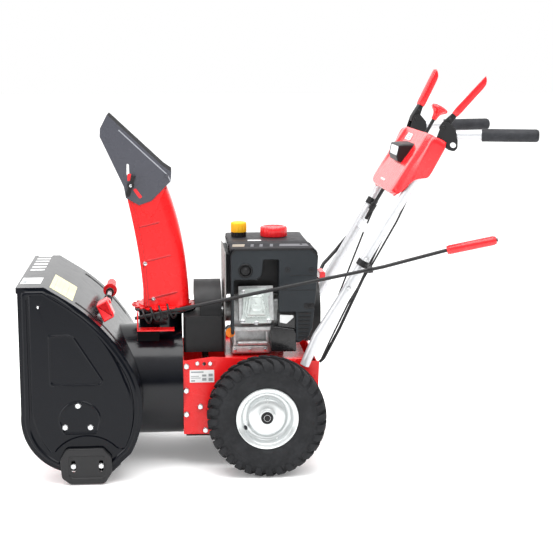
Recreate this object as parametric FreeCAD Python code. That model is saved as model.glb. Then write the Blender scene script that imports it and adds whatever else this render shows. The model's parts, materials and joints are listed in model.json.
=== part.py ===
"""Two stage snowblower, built as separate pieces.

Millimetres. The machine drives towards -X, its left side is -Y and +Z is up. The model is
drawn with the wheel axle at x = 0 and the ground at z = 0, then moved so that the origin
is under the middle of the whole machine.
"""
import FreeCAD, Part
import math
import os

V = FreeCAD.Vector

# Driving dimensions
HOUSING_HALF_WIDTH = 280.0
HOUSING_FRONT = -668.0
HOUSING_TOP = 546.0
SHEET = 3.0
WHEEL_RADIUS = 166.0
TYRE_WIDTH = 104.0
TRACK_HALF = 225.0
RIM_RADIUS = 86.5
AXLE_RADIUS = 9.5
RUNNING_GAP = 0.06
AUGER_X, AUGER_Z = -516.0, 180.0
AUGER_RADIUS = 128.0
AUGER_PITCH = 190.0
DRUM_RADIUS, DRUM_BACK, DRUM_Z = 160.0, -229.0, 225.0
SHAFT_RADIUS = 9.5
CRANKSHAFT_Z = 420.0
FRAME_HALF = 150.0
CHUTE_X, RING_Z, RING_RADIUS = -277.0, 443.0, 96.0
RING_NOTCHES = 24
HINGE_X, HINGE_Z = -268.0, 822.0
BAR_RADIUS = 13.5
GRIP_Z, GRIP_REAR = 941.0, 732.0
SPLAY = 14.7
CRANK_FRONT = V(-343.0, -106.0, 427.0)
CRANK_EYELET = V(288.0, -215.0, 572.0)
ORIGIN_X = 0.5 * (HOUSING_FRONT - 4.0 + GRIP_REAR)


# Helpers
def box(x0, x1, y0, y1, z0, z1):
    return Part.makeBox(x1 - x0, y1 - y0, z1 - z0, V(x0, y0, z0))


def rod(start, end, radius):
    return Part.makeCylinder(radius, (end - start).Length, start, end - start)


def pipe(start, end, outer, inner):
    return rod(start, end, outer).cut(rod(start, end, inner))


def side_pair(shape):
    """The shape and its mirror image across the machine's centre plane."""
    return [shape, shape.mirror(V(0, 0, 0), V(0, 1, 0))]


def plate_xz(points, y0, y1):
    """A flat plate drawn by its corners (x, z), between two y planes."""
    corners = [V(x, y0, z) for x, z in points]
    return Part.Face(Part.makePolygon(corners + corners[:1])).extrude(V(0, y1 - y0, 0))


def plate_yz(points, x0, x1):
    corners = [V(x0, y, z) for y, z in points]
    return Part.Face(Part.makePolygon(corners + corners[:1])).extrude(V(x1 - x0, 0, 0))


def plate_xy(points, z0, z1):
    corners = [V(x, y, z0) for x, y in points]
    return Part.Face(Part.makePolygon(corners + corners[:1])).extrude(V(0, 0, z1 - z0))


def round_edges(shape, radius, direction):
    """Fillet the straight edges that run along one direction."""
    chosen = []
    for edge in shape.Edges:
        if len(edge.Vertexes) == 2 and "Line" in str(type(edge.Curve)):
            along = edge.Vertexes[1].Point - edge.Vertexes[0].Point
            if along.Length > 0.1 and abs(along.normalize().dot(direction)) > 0.999:
                chosen.append(edge)
    return shape.makeFillet(radius, chosen)


def rounded_box(x0, x1, y0, y1, z0, z1, radius, direction):
    return round_edges(box(x0, x1, y0, y1, z0, z1), radius, direction)


def bent_path(points, radius):
    """Straight runs through the points, joined by tangent arcs of one radius."""
    edges = []
    start = points[0]
    for before, corner, after in zip(points, points[1:], points[2:]):
        back = (before - corner).normalize()
        ahead = (after - corner).normalize()
        half = 0.5 * back.getAngle(ahead)
        trim = radius / math.tan(half)
        enter = corner + back * trim
        leave = corner + ahead * trim
        middle_way = (back + ahead).normalize()
        centre = corner + middle_way * (radius / math.sin(half))
        edges.append(Part.LineSegment(start, enter).toShape())
        edges.append(Part.Arc(enter, centre - middle_way * radius, leave).toShape())
        start = leave
    edges.append(Part.LineSegment(start, points[-1]).toShape())
    return Part.Wire(edges)


def bent_bar(points, bend, radius):
    """A round bar along a bent path."""
    path = bent_path(points, bend)
    ring = Part.Wire(Part.Circle(points[0], points[1] - points[0], radius).toShape())
    return path.makePipeShell([ring], True, False)


def revolve(profile, centre, axis):
    """Turn a closed outline of (distance along the axis, radius) about the axis."""
    side = V(0, 0, 1) if abs(axis.z) < 0.9 else V(1, 0, 0)
    corners = [centre + axis * a + side * r for a, r in profile]
    face = Part.Face(Part.makePolygon(corners + corners[:1]))
    return face.revolve(centre, axis, 360)


def hex_head(centre, axis, width, height):
    """A hexagon head standing on a face at centre, pointing along axis."""
    side = V(0, 0, 1) if abs(axis.z) < 0.9 else V(1, 0, 0)
    radius = width / math.sqrt(3.0)
    corners = []
    for k in range(6):
        turn = FreeCAD.Rotation(axis, 60.0 * k)
        corners.append(centre + turn.multVec(side) * radius)
    head = Part.Face(Part.makePolygon(corners + corners[:1])).extrude(axis * height)
    washer = Part.makeCylinder(width * 0.62, 0.25 * height, centre, axis)
    return head.fuse(washer).removeSplitter()


def y_bolts(places, y, outward, width=13.0, height=6.0):
    """Bolt heads on a side face at (x, z) places, mirrored to both sides."""
    heads = []
    for x, z in places:
        heads += side_pair(hex_head(V(x, -y, z), V(0, -outward, 0), width, height))
    return heads


# Auger housing
def housing_face(y):
    """The side outline of the auger housing: flat front, round bottom, curved back."""
    front_top = V(HOUSING_FRONT, y, HOUSING_TOP)
    front_low = V(HOUSING_FRONT, y, 201)
    bottom_front = V(-565, y, 38)
    heel = V(-428, y, 34)
    back_low = V(-375, y, 82)
    back_high = V(-379, y, 338)
    shoulder = V(-538, y, 508.6)
    top_back = V(-597, y, HOUSING_TOP)
    edges = [
        Part.LineSegment(front_top, front_low).toShape(),
        Part.Arc(front_low, V(-634, y, 86), bottom_front).toShape(),
        Part.LineSegment(bottom_front, heel).toShape(),
        Part.LineSegment(heel, back_low).toShape(),
        Part.Arc(back_low, V(-342.5, y, 217), back_high).toShape(),
        Part.Arc(back_high, V(-452, y, 437), shoulder).toShape(),
        Part.LineSegment(shoulder, top_back).toShape(),
        Part.LineSegment(top_back, front_top).toShape(),
    ]
    return Part.Face(Part.Wire(edges))


def housing_prism(half_width, inset=0.0):
    face = housing_face(-half_width)
    if inset:
        face = Part.Face(face.OuterWire.makeOffset2D(-inset))
    return face.extrude(V(0, 2 * half_width, 0))


PLATE_FACE = HOUSING_HALF_WIDTH - SHEET
WRAP_HALF = PLATE_FACE - SHEET


SHEET_JOINT_X = -538.0


def auger_housing():
    """The wrapped sheet between the side plates, a brow and a back, with the tool's two clips."""
    wrap = housing_prism(WRAP_HALF).cut(housing_prism(WRAP_HALF + 1, SHEET))
    mouth = box(-700, -610, -300, 300, 0, HOUSING_TOP - SHEET)
    floor = box(-611, -431, -300, 300, 0, 70)
    wrap = wrap.cut(mouth).cut(floor)
    drum_hole = rod(V(-500, 0, DRUM_Z), V(-300, 0, DRUM_Z), DRUM_RADIUS - SHEET)
    wrap = wrap.cut(drum_hole)
    for y in (-230.0, 230.0):
        wrap = wrap.cut(box(-518, -384, y - 2.5, y + 2.5, 340, 520))
    lip = box(HOUSING_FRONT - 4, HOUSING_FRONT, -WRAP_HALF, WRAP_HALF, 530, HOUSING_TOP)
    clips = []
    out = V(-0.707, 0, 0.707)
    for y in TOOL_CLIPS:
        foot = V(TOOL_X, y, TOOL_Z) - out * 44
        stalk = rod(foot, foot + out * 40, 6)
        stalk = stalk.cut(housing_prism(WRAP_HALF))
        clips.append(stalk.cut(rod(V(TOOL_X, -99, TOOL_Z), V(TOOL_X, 99, TOOL_Z), 5.4)))
    whole = wrap.fuse(lip).removeSplitter()
    brow = box(-700, SHEET_JOINT_X, -300, 300, 480, 600)
    return [whole.common(brow), whole.cut(brow)] + clips


TOOL_X, TOOL_Z = -437.0, 474.0
TOOL_CLIPS = (-70.0, 40.0)


def embossed(face, depth):
    """A raised panel standing outwards on the left side plate."""
    return face.extrude(V(0, -depth, 0))


def left_side_plate():
    plate = housing_face(-PLATE_FACE).extrude(V(0, SHEET, 0))
    outline = housing_face(-PLATE_FACE).OuterWire
    bead = Part.Face(outline.makeOffset2D(-24)).cut(Part.Face(outline.makeOffset2D(-33)))
    edge = Part.Face(outline).cut(Part.Face(outline.makeOffset2D(-5)))
    y = -PLATE_FACE
    badge = plate_xz([(-591, 416), (-534, 418), (-443, 288), (-452, 275), (-592, 275)], y - 3, y)
    badge = round_edges(badge, 8, V(0, 1, 0))
    boss = plate_xz([(-567, 180), (-508, 237), (-452, 178), (-464, 140), (-557, 142)], y - 3, y)
    boss = round_edges(boss, 12, V(0, 1, 0))
    arch = plate_xz([(-592, 88), (-533, 128), (-450, 126), (-398, 88)], y - 3, y)
    arch = round_edges(arch, 14, V(0, 1, 0))
    raised = [embossed(bead, 3), embossed(edge, 3), badge, boss, arch]
    plate = plate.multiFuse(raised).removeSplitter()
    sight_hole = rod(V(-613, -300, 493), V(-613, -200, 493), 4.0)
    return plate.cut(sight_hole)


def scraper_bar():
    along, out = V(0.741, 0, 0.671), V(0.671, 0, -0.741)
    heel = V(-428, -WRAP_HALF + 1, 34)
    corners = [heel - along * 34, heel + along * 30]
    corners += [corners[1] + out * 4, corners[0] + out * 4]
    face = Part.Face(Part.makePolygon(corners + corners[:1]))
    return face.extrude(V(0, 2 * WRAP_HALF - 2, 0))


def left_skid():
    """A skid shoe: a pressed plate with turned-in foot and two upright slots."""
    y = -HOUSING_HALF_WIDTH
    points = [(-566, 78), (-566, 26), (-545, 0), (-448, 0), (-428, 22), (-428, 78), (-449, 103), (-545, 103)]
    shoe = round_edges(plate_xz(points, y - 12, y - 0.4), 6, V(0, 1, 0))
    well = rounded_box(-542, -445, y - 20, y - 7, 20, 86, 14, V(0, 1, 0))
    shoe = shoe.cut(well)
    for x, z in SKID_BOLTS:
        slot = rounded_box(x - 5.5, x + 5.5, y - 20, y + 1, z - 17.5, z + 17.5, 5.4, V(0, 1, 0))
        shoe = shoe.cut(slot)
    return shoe


SKID_BOLTS = [(-531, 53), (-456, 53)]
BEARING_BOLTS = [(-515, 221), (-551, 161), (-483, 160)]


# Auger and impeller
def ribbon(side):
    """One helical auger ribbon on its tube, winding towards the gearbox."""
    inner, outer = 44.0, AUGER_RADIUS
    length = 212.0
    steps = 40
    turns = length / AUGER_PITCH
    thickness = 4.0
    rings = []
    for radius in (inner, outer):
        line = []
        for k in range(steps + 1):
            angle = side * 2 * math.pi * turns * k / steps
            y = side * (262.0 - length * k / steps)
            line.append(V(AUGER_X + radius * math.sin(angle), y, AUGER_Z + radius * math.cos(angle)))
        rings.append(line)
    edges = []
    for line in rings:
        curve = Part.BSplineCurve()
        curve.interpolate(line)
        edges.append(curve.toShape())
    surface = Part.makeRuledSurface(edges[0], edges[1])
    return surface.extrude(V(0, -side * thickness, 0))


def flight(side):
    tube = pipe(V(AUGER_X, side * 264, AUGER_Z), V(AUGER_X, side * 48, AUGER_Z), 17.0, 12.56)
    blade = ribbon(side)
    spokes = []
    turns = 212.0 / AUGER_PITCH
    for fraction in (0.04, 0.34, 0.64, 0.94):
        angle = side * 2 * math.pi * turns * fraction
        y = side * (262.0 - 212.0 * fraction)
        way = V(math.sin(angle), 0, math.cos(angle))
        centre = V(AUGER_X, y - side * 2.0, AUGER_Z)
        spokes.append(rod(centre + way * 15, centre + way * 50, 6))
    return tube.multiFuse([blade] + spokes)


def gearbox():
    body = rod(V(AUGER_X, -26, AUGER_Z), V(AUGER_X, 26, AUGER_Z), 46)
    snout = rod(V(AUGER_X, 0, DRUM_Z), V(-420, 0, DRUM_Z), 26)
    barrel = rod(V(AUGER_X, -46, AUGER_Z), V(AUGER_X, 46, AUGER_Z), 22)
    case = body.fuse(snout).fuse(barrel)
    inside = rod(V(AUGER_X, -21, AUGER_Z), V(AUGER_X, 21, AUGER_Z), 41)
    tunnel = rod(V(AUGER_X - 20, 0, DRUM_Z), V(-432, 0, DRUM_Z), 17)
    shaft = rod(V(AUGER_X, -60, AUGER_Z), V(AUGER_X, 60, AUGER_Z), 12.5 + RUNNING_GAP)
    bore = rod(V(AUGER_X, 0, DRUM_Z), V(-400, 0, DRUM_Z), SHAFT_RADIUS + RUNNING_GAP)
    return case.cut(inside).cut(tunnel).cut(shaft).cut(bore).removeSplitter()


def worm_wheel():
    """The bronze wheel on the auger shaft, with a tooth for every notch of the worm."""
    wheel = pipe(V(AUGER_X, -9, AUGER_Z), V(AUGER_X, 9, AUGER_Z), 33, 12.5)
    teeth = 20
    notches = []
    for k in range(teeth):
        angle = 2 * math.pi * k / teeth
        way = V(math.sin(angle), 0, math.cos(angle))
        centre = V(AUGER_X, 0, AUGER_Z) + way * 34
        notches.append(rod(centre - V(0, 12, 0), centre + V(0, 12, 0), 3))
    return wheel.cut(Part.makeCompound(notches))


def impeller_shaft():
    shaft = rod(V(AUGER_X - 14, 0, DRUM_Z), V(PULLEY_BACK + 8, 0, DRUM_Z), SHAFT_RADIUS)
    worm = rod(V(AUGER_X - 14, 0, DRUM_Z), V(AUGER_X + 16, 0, DRUM_Z), 11)
    return shaft.fuse(worm).removeSplitter()


def impeller():
    hub = pipe(V(-388, 0, DRUM_Z), V(-250, 0, DRUM_Z), 20, SHAFT_RADIUS)
    blades = []
    for k in range(4):
        blade = box(-372, -258, -2.5, 2.5, DRUM_Z + 15, DRUM_Z + 148)
        tip = box(-372, -258, -2.5, 22, DRUM_Z + 144, DRUM_Z + 148)
        blade = blade.fuse(tip)
        blade.rotate(V(0, 0, DRUM_Z), V(1, 0, 0), 90 * k + 20)
        blades.append(blade)
    return hub.multiFuse(blades).removeSplitter()


def impeller_drum():
    outer = rod(V(-470, 0, DRUM_Z), V(DRUM_BACK, 0, DRUM_Z), DRUM_RADIUS)
    inner = rod(V(-480, 0, DRUM_Z), V(DRUM_BACK - SHEET, 0, DRUM_Z), DRUM_RADIUS - SHEET)
    neck_x = DRUM_BACK - 62.0
    neck = rod(V(neck_x, 0, 330), V(neck_x, 0, RING_Z - 14), 62.0)
    throat = rod(V(neck_x, 0, 320), V(neck_x, 0, RING_Z), 59.0)
    flange = rod(V(CHUTE_X, 0, RING_Z - 14), V(CHUTE_X, 0, RING_Z - 9), 88)
    flange_hole = rod(V(CHUTE_X, 0, RING_Z - 20), V(CHUTE_X, 0, RING_Z), 57)
    bearing = rod(V(DRUM_BACK - SHEET, 0, DRUM_Z), V(DRUM_BACK + 8, 0, DRUM_Z), 26)
    bore = rod(V(-260, 0, DRUM_Z), V(-200, 0, DRUM_Z), SHAFT_RADIUS + RUNNING_GAP)
    drum = outer.fuse(neck).cut(inner).cut(throat)
    drum = drum.fuse(flange.cut(flange_hole)).fuse(bearing).cut(bore)
    return drum.cut(housing_prism(WRAP_HALF)).removeSplitter()


def grooved_pulley(x0, x1, z, radius, bore):
    """A V pulley on an axis along X."""
    middle = 0.5 * (x0 + x1)
    depth = 0.38 * (x1 - x0)
    profile = [(x0, bore), (x0, radius), (x0 + 2, radius), (middle - 2, radius - depth)]
    profile += [(middle + 2, radius - depth), (x1 - 2, radius), (x1, radius), (x1, bore)]
    return revolve(profile, V(0, 0, z), V(1, 0, 0))


PULLEY_FRONT, PULLEY_BACK = -172.0, -154.0
LARGE_PULLEY, SMALL_PULLEY = 92.0, 38.0


def drive_belt():
    """The belt round both pulleys, a hair clear of their grooves."""
    x0, x1 = PULLEY_FRONT + 5.5, PULLEY_BACK - 5.5
    thickness = 9.0
    big = LARGE_PULLEY - 6.0
    small = SMALL_PULLEY - 6.0
    gap = CRANKSHAFT_Z - DRUM_Z
    lean = math.asin((big - small) / gap)

    def loop(extra, x):
        big_r, small_r = big + extra, small + extra
        cy, sz = math.cos(lean), math.sin(lean)
        low_right = V(x, big_r * cy, DRUM_Z + big_r * sz)
        high_right = V(x, small_r * cy, CRANKSHAFT_Z + small_r * sz)
        low_left = V(x, -low_right.y, low_right.z)
        high_left = V(x, -high_right.y, high_right.z)
        edges = [
            Part.LineSegment(low_right, high_right).toShape(),
            Part.Arc(high_right, V(x, 0, CRANKSHAFT_Z + small_r), high_left).toShape(),
            Part.LineSegment(high_left, low_left).toShape(),
            Part.Arc(low_left, V(x, 0, DRUM_Z - big_r), low_right).toShape(),
        ]
        return Part.Face(Part.Wire(edges))

    outer = loop(thickness, x0).extrude(V(x1 - x0, 0, 0))
    inner = loop(2.2, x0 - 1).extrude(V(x1 - x0 + 2, 0, 0))
    return outer.cut(inner)


# Frame, axle and wheels
def drive_frame():
    side = [(-229, 308), (-150, 318), (-143, 318), (156, 300), (152, 190), (60, 92), (-229, 95)]
    sides = side_pair(plate_xz(side, -FRAME_HALF, -FRAME_HALF + SHEET))
    inner = FRAME_HALF - SHEET
    front = box(DRUM_BACK, DRUM_BACK + SHEET, -inner, inner, 95, 308)
    deck = box(-108, 120, -inner, inner, 304, 307)
    rear = box(147, 150, -inner, inner, 190, 300)
    frame = sides[0].multiFuse([sides[1], front, deck, rear])
    frame = frame.cut(rod(V(-240, 0, DRUM_Z), V(-200, 0, DRUM_Z), 30))
    frame = frame.cut(rod(V(0, -200, WHEEL_RADIUS), V(0, 200, WHEEL_RADIUS), 14))
    frame = frame.cut(rod(V(-170, -200, 298), V(-170, -140, 298), 5))
    return frame.removeSplitter()


def bottom_cover():
    points = [(-222, 92), (60, 89), (60, 86), (-222, 89)]
    return plate_xz(points, -FRAME_HALF + 4, FRAME_HALF - 4)


def belt_cover():
    """A black moulded cover: an arch over the engine pulley on a square skirt."""

    def arch(half, x0, x1):
        body = box(x0, x1, -half, half, 300, CRANKSHAFT_Z)
        return body.fuse(rod(V(x0, 0, CRANKSHAFT_Z), V(x1, 0, CRANKSHAFT_Z), half))

    crown, skirt_top = 94.0, 424.0
    outer = arch(crown, -177, -117).fuse(arch(crown, -194, -176).cut(box(-200, -170, -200, 200, 290, 458)))
    skirt = rounded_box(-225, -112, -100, 100, 321, skirt_top, 8, V(0, 0, 1))
    hollow = arch(crown - 3, -174, -110).fuse(box(-222, -100, -97, 97, 300, skirt_top - 3))
    hollow = hollow.fuse(arch(crown - 3, -191, -170).cut(box(-200, -174, -200, 200, 290, 461)))
    cover = outer.fuse(skirt).cut(hollow)
    back = box(-115, -112, -97, 97, 321, skirt_top - 3)
    back = back.fuse(arch(crown - 1, -120, -117).cut(box(-130, -100, -200, 200, 290, skirt_top - 3)))
    cover = cover.fuse(back).cut(rod(V(-130, 0, CRANKSHAFT_Z), V(-100, 0, CRANKSHAFT_Z), 31))
    return cover.cut(box(-300, -90, -200, 200, 290, 321)).removeSplitter()


def axle():
    reach = TRACK_HALF + 30
    return rod(V(0, -reach, WHEEL_RADIUS), V(0, reach, WHEEL_RADIUS), AXLE_RADIUS)


def tyre(side):
    """A tyre carcass with open middle, turned about the axle."""
    half = 0.5 * TYRE_WIDTH
    crown = WHEEL_RADIUS
    profile = [(-33, 80.2), (-33, 88), (-46, 97), (-half, 118), (-50, 140), (-44, 158), (-30, crown)]
    profile += [(30, crown), (44, 158), (50, 140), (half, 118), (46, 97), (33, 88), (33, 80.2)]
    return revolve(profile, V(0, side * TRACK_HALF, WHEEL_RADIUS), V(0, 1, 0))


def rim(side):
    """A pressed steel wheel: two flanges, a well and a dished disc on a hub tube."""
    out = side
    profile = [(36, RIM_RADIUS), (36, 83), (33.6, 79.8), (30, 72), (10, 68), (10, 44)]
    profile += [(22, 36), (22, 22), (26, 22), (26, AXLE_RADIUS), (-40, AXLE_RADIUS), (-40, 20)]
    profile += [(18, 20), (18, 34), (7, 42), (6, 66), (-30, 70), (-33.6, 79.8), (-36, 83)]
    profile += [(-36, RIM_RADIUS), (-34.2, RIM_RADIUS), (-33.9, 80), (33.9, 80), (34.2, RIM_RADIUS)]
    profile = [(out * a, r) for a, r in profile]
    return revolve(profile, V(0, side * TRACK_HALF, WHEEL_RADIUS), V(0, 1, 0))


def bush(centre, axis, inner, outer, flange, length):
    body = Part.makeCylinder(outer, length, centre, axis)
    collar = Part.makeCylinder(flange, 3.0, centre, axis * -1.0)
    hole = Part.makeCylinder(inner, length + 20, centre - axis * 10, axis)
    return body.fuse(collar).cut(hole).removeSplitter()


# Engine
ENGINE_SIDE = -138.0


def crankcase():
    base = box(-86, 18, -92, 80, 313, 341)
    body = rounded_box(-84, 62, -82, 90, 338, 470, 14, V(1, 0, 0))
    boss = rod(V(-108, 0, CRANKSHAFT_Z), V(-80, 0, CRANKSHAFT_Z), 30)
    feet = box(-86, 62, -60, 88, 307, 330)
    filler = rod(V(-94, -100, 378), V(-94, -50, 378), 11)
    case = base.multiFuse([body, boss, feet, filler])
    cavity = rod(V(-70, 0, CRANKSHAFT_Z), V(46, 0, CRANKSHAFT_Z), 42)
    bore = rod(V(-140, 0, CRANKSHAFT_Z), V(80, 0, CRANKSHAFT_Z), 12.5 + RUNNING_GAP)
    return case.cut(cavity).cut(bore).removeSplitter()


CYLINDER_TILT = 15.0
CYLINDER_Z = CRANKSHAFT_Z + 3.0


def tilted(shape):
    """Tilt a part drawn along -Y up to the cylinder's line."""
    copy = shape.copy()
    copy.rotate(V(0, 0, CRANKSHAFT_Z), V(1, 0, 0), -CYLINDER_TILT)
    return copy


def cylinder():
    """The finned cylinder and head, on the left of the crankcase."""
    z = CYLINDER_Z
    barrel = box(-60, 16, -124, -78, z - 34, z + 40)
    fins = [box(-70, 28, -92 - 6.2 * k, -89 - 6.2 * k, z - 40, z + 58) for k in range(6)]
    block = tilted(barrel.multiFuse(fins))
    return block.cut(box(-200, 200, -82, 200, 300, 700)).removeSplitter()


def valve_cover():
    z = CYLINDER_Z
    plate = rounded_box(-64, 18, -129, -124.2, z - 38, z + 44, 8, V(0, 1, 0))
    dome = rounded_box(-54, 8, -146, -129, z - 26, z + 34, 16, V(0, 1, 0))
    return tilted(plate.fuse(dome).removeSplitter())


def crankshaft():
    shaft = rod(V(PULLEY_FRONT - 2, 0, CRANKSHAFT_Z), V(150, 0, CRANKSHAFT_Z), 12.5)
    web = rod(V(-40, 0, CRANKSHAFT_Z), V(20, 0, CRANKSHAFT_Z), 34)
    pulley = grooved_pulley(PULLEY_FRONT, PULLEY_BACK, CRANKSHAFT_Z, SMALL_PULLEY, 0.0)
    flywheel = rod(V(92, 0, CRANKSHAFT_Z), V(120, 0, CRANKSHAFT_Z), 74)
    return shaft.multiFuse([web, pulley, flywheel]).removeSplitter()


PRIMER = V(-52.0, ENGINE_SIDE, 560.0)


def side_cover():
    """The big plastic cover on the left, with a cut-out for the cylinder head."""
    face, wall = ENGINE_SIDE, 3.0
    outline = [(-93, 376), (-93, 602), (-76, 622), (132, 622), (153, 602), (148, 500), (134, 376), (104, 342)]
    outline += [(18, 342), (18, 376)]
    cover = round_edges(plate_xz(outline, face, -80), 8, V(0, 1, 0))
    hollow = box(-90, 150, face + wall, -70, 345, 619)
    window = [(-84, 290), (-84, 534), (-22, 534), (-8, 548), (-5, 590), (42, 590), (42, 430)]
    window += [(16, 430), (16, 290)]
    front = box(-120, -86, face + wall, -70, 366, 460)
    cover = cover.cut(hollow).cut(plate_xz(window, face - 5, face + 10)).cut(front)
    cover = cover.cut(box(-88, 66, -86, -60, 300, 480)).cut(box(-120, 20, face + wall, -60, 340, 380))
    cover = cover.cut(rod(V(110, 0, CRANKSHAFT_Z), V(170, 0, CRANKSHAFT_Z), 92.5))
    bore = rod(PRIMER + V(0, -9, 0), PRIMER + V(0, 14, 0), 15.5)
    socket = rod(PRIMER + V(0, -2, 0), PRIMER + V(0, 10, 0), 21)
    cover = cover.fuse(socket).cut(bore)
    for k in range(6):
        cover = cover.cut(box(94, 122 + 2 * k, face - 1.5, face + 5, 362 + 12 * k, 367 + 12 * k))
    return max(cover.removeSplitter().Solids, key=lambda solid: solid.Volume)


def primer_bulb():
    profile = [(-10, 0), (-10, 15), (-4, 15), (1, 11), (3, 5), (3, 0)]
    return revolve(profile, PRIMER, V(0, -1, 0))


def engine_shroud():
    """The top and rear cowl with the recoil starter's drum housing."""
    top = rounded_box(-104, 146, -79, 118, 480, 604, 10, V(1, 0, 0))
    hollow = box(-101, 143, -76, 115, 470, 601)
    recoil = rod(V(126, 0, CRANKSHAFT_Z), V(166, 0, CRANKSHAFT_Z), 92)
    recoil_in = rod(V(80, 0, CRANKSHAFT_Z), V(163, 0, CRANKSHAFT_Z), 89)
    cowl = top.cut(hollow).fuse(recoil).cut(recoil_in)
    port = box(150, 180, -12, 12, 478, 520)
    return cowl.cut(port).removeSplitter()


TANK_TOP = 637.0
FUEL_CAP_X, OIL_CAP_X = 38.0, -63.0


def fuel_tank():
    """The tank under its moulded top, which slopes down to meet the side cover."""
    outer = [(ENGINE_SIDE, 623), (-108, 633), (-92, TANK_TOP), (100, TANK_TOP), (116, 628), (116, 605)]
    outer += [(-78, 605), (-78, 623)]
    inner = [(-86, TANK_TOP - 4), (98, TANK_TOP - 4), (112, 626), (112, 609), (-74, 609), (-74, 626)]
    tank = round_edges(plate_yz(outer, -98, 134), 3, V(1, 0, 0)).cut(plate_yz(inner, -94, 130))
    neck = rod(V(FUEL_CAP_X, 0, TANK_TOP - 3), V(FUEL_CAP_X, 0, TANK_TOP + 8), 24)
    filler = rod(V(OIL_CAP_X, 0, TANK_TOP - 3), V(OIL_CAP_X, 0, TANK_TOP + 8), 15)
    tank = tank.fuse(neck).fuse(filler)
    bore = rod(V(FUEL_CAP_X, 0, TANK_TOP - 16), V(FUEL_CAP_X, 0, TANK_TOP + 24), 20)
    return tank.cut(bore).removeSplitter()


def ribbed_cap(x, y, z0, z1, radius, ribs):
    """A screw cap with a finger-gripped rim and a hollow underside."""
    cap = rod(V(x, y, z0), V(x, y, z1), radius)
    cap = cap.makeFillet(2.5, [cap.Edges[0] if cap.Edges[0].BoundBox.ZMin > z1 - 1 else cap.Edges[2]])
    cuts = []
    for k in range(ribs):
        angle = 2 * math.pi * k / ribs
        px, py = x + (radius + 0.6) * math.cos(angle), y + (radius + 0.6) * math.sin(angle)
        cuts.append(rod(V(px, py, z0 - 1), V(px, py, z1 + 1), 2.0))
    return cap.cut(Part.makeCompound(cuts))


def fuel_cap():
    cap = ribbed_cap(FUEL_CAP_X, 0, TANK_TOP + 1, TANK_TOP + 30, 39, 28)
    return cap.cut(rod(V(FUEL_CAP_X, 0, TANK_TOP), V(FUEL_CAP_X, 0, TANK_TOP + 9), 24.3))


def oil_cap():
    cap = ribbed_cap(OIL_CAP_X, 0, TANK_TOP + 1, TANK_TOP + 43, 23, 20)
    return cap.cut(rod(V(OIL_CAP_X, 0, TANK_TOP), V(OIL_CAP_X, 0, TANK_TOP + 9), 15.3))


def dipstick():
    knob = rod(V(-94, -114, 378), V(-94, -102, 378), 13)
    tab = box(-96, -92, -120, -113, 368, 394)
    return knob.multiFuse([tab, rod(V(-94, -103, 378), V(-94, -100.2, 378), 8)]).removeSplitter()


def muffler():
    can = rounded_box(-98, 20, -60, 70, 486, 594, 16, V(1, 0, 0))
    pipe_out = rod(V(-40, -72, 520), V(-40, -50, 520), 16)
    return can.fuse(pipe_out).removeSplitter()


def muffler_guard():
    guard = rounded_box(-110, -106, -134, 100, 482, 612, 1.5, V(0, 1, 0))
    holes = []
    for row in range(9):
        for column in range(16):
            y = -126 + 14.5 * column
            holes.append(rod(V(-115, y, 492 + 13.5 * row), V(-100, y, 492 + 13.5 * row), 4))
    skirt = box(-110, -106, -78, 100, 312, 483)
    skirt = skirt.cut(rod(V(-120, 0, CRANKSHAFT_Z), V(-100, 0, CRANKSHAFT_Z), 33))
    return guard.cut(Part.makeCompound(holes)).fuse(skirt).removeSplitter()


def starter_handle():
    grip = rounded_box(169, 186, -30, 30, 508, 536, 6, V(0, 1, 0))
    stem = rod(V(164.5, 0, 500), V(176, 0, 514), 5)
    return grip.fuse(stem).removeSplitter()


def carburettor():
    body = box(62, 110, -124, -84, 436, 510)
    bowl = rod(V(84, -104, 414), V(84, -104, 437), 18)
    air_box = rounded_box(50, 144, -132, -82, 514, 614, 8, V(0, 1, 0))
    return body.multiFuse([bowl, air_box, box(70, 100, -120, -90, 508, 520)]).removeSplitter()


def spark_plug():
    seat = V(-20, -100, 528)
    way = V(0.1, -0.2, 0.5).normalize()
    return rod(seat, seat + way * 22, 7).fuse(rod(seat + way * 20, seat + way * 44, 9))


# Handlebars and controls
BAR_KNOTS = [(112, 163.8, 292), (147, 163.8, 374), (205, 166.5, 466), (330, 178, 680), (432, 204, 852)]
BAR_KNOTS += [(500, 222, 941), (726, 281.3, 941)]


def left_bar():
    return bent_bar([V(x, -y, z) for x, y, z in BAR_KNOTS], 55, BAR_RADIUS)


def crossbar():
    """A flat bar between the two handlebars."""
    low, high = [V(x, 0, z) for x, y, z in BAR_KNOTS[2:4]]
    middle = low + (high - low) * 0.87
    half = 177.0
    flat = box(-13, 13, -half, half, -4, 4)
    flat.rotate(V(0, 0, 0), V(0, 1, 0), -math.degrees(math.atan2(high.z - low.z, high.x - low.x)))
    flat.translate(middle)
    for bar in side_pair(left_bar()):
        flat = flat.cut(bar)
    return max(flat.Solids, key=lambda solid: solid.Volume)


BAR_CORNER = V(500.0, -222.0, GRIP_Z)
LEVER_PIVOT = V(484.0, -217.8, 963.0)


def splayed(shape, pivot):
    """Turn a part drawn along +X about an upright line, out along the left grip."""
    copy = shape.copy()
    copy.rotate(pivot, V(0, 0, 1), -SPLAY)
    return copy


def left_grip():
    start, end = BAR_CORNER + V(88, 0, 0), BAR_CORNER + V(239, 0, 0)
    grip = rod(start, end, 17.5)
    grip = grip.cut(rod(start - V(5, 0, 0), BAR_CORNER + V(233.7, 0, 0), BAR_RADIUS + 0.05))
    for k in range(9):
        groove = BAR_CORNER + V(102 + 14 * k, 0, 0)
        grip = grip.cut(pipe(groove, groove + V(3, 0, 0), 20, 16.7))
    return splayed(grip, BAR_CORNER)


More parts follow.
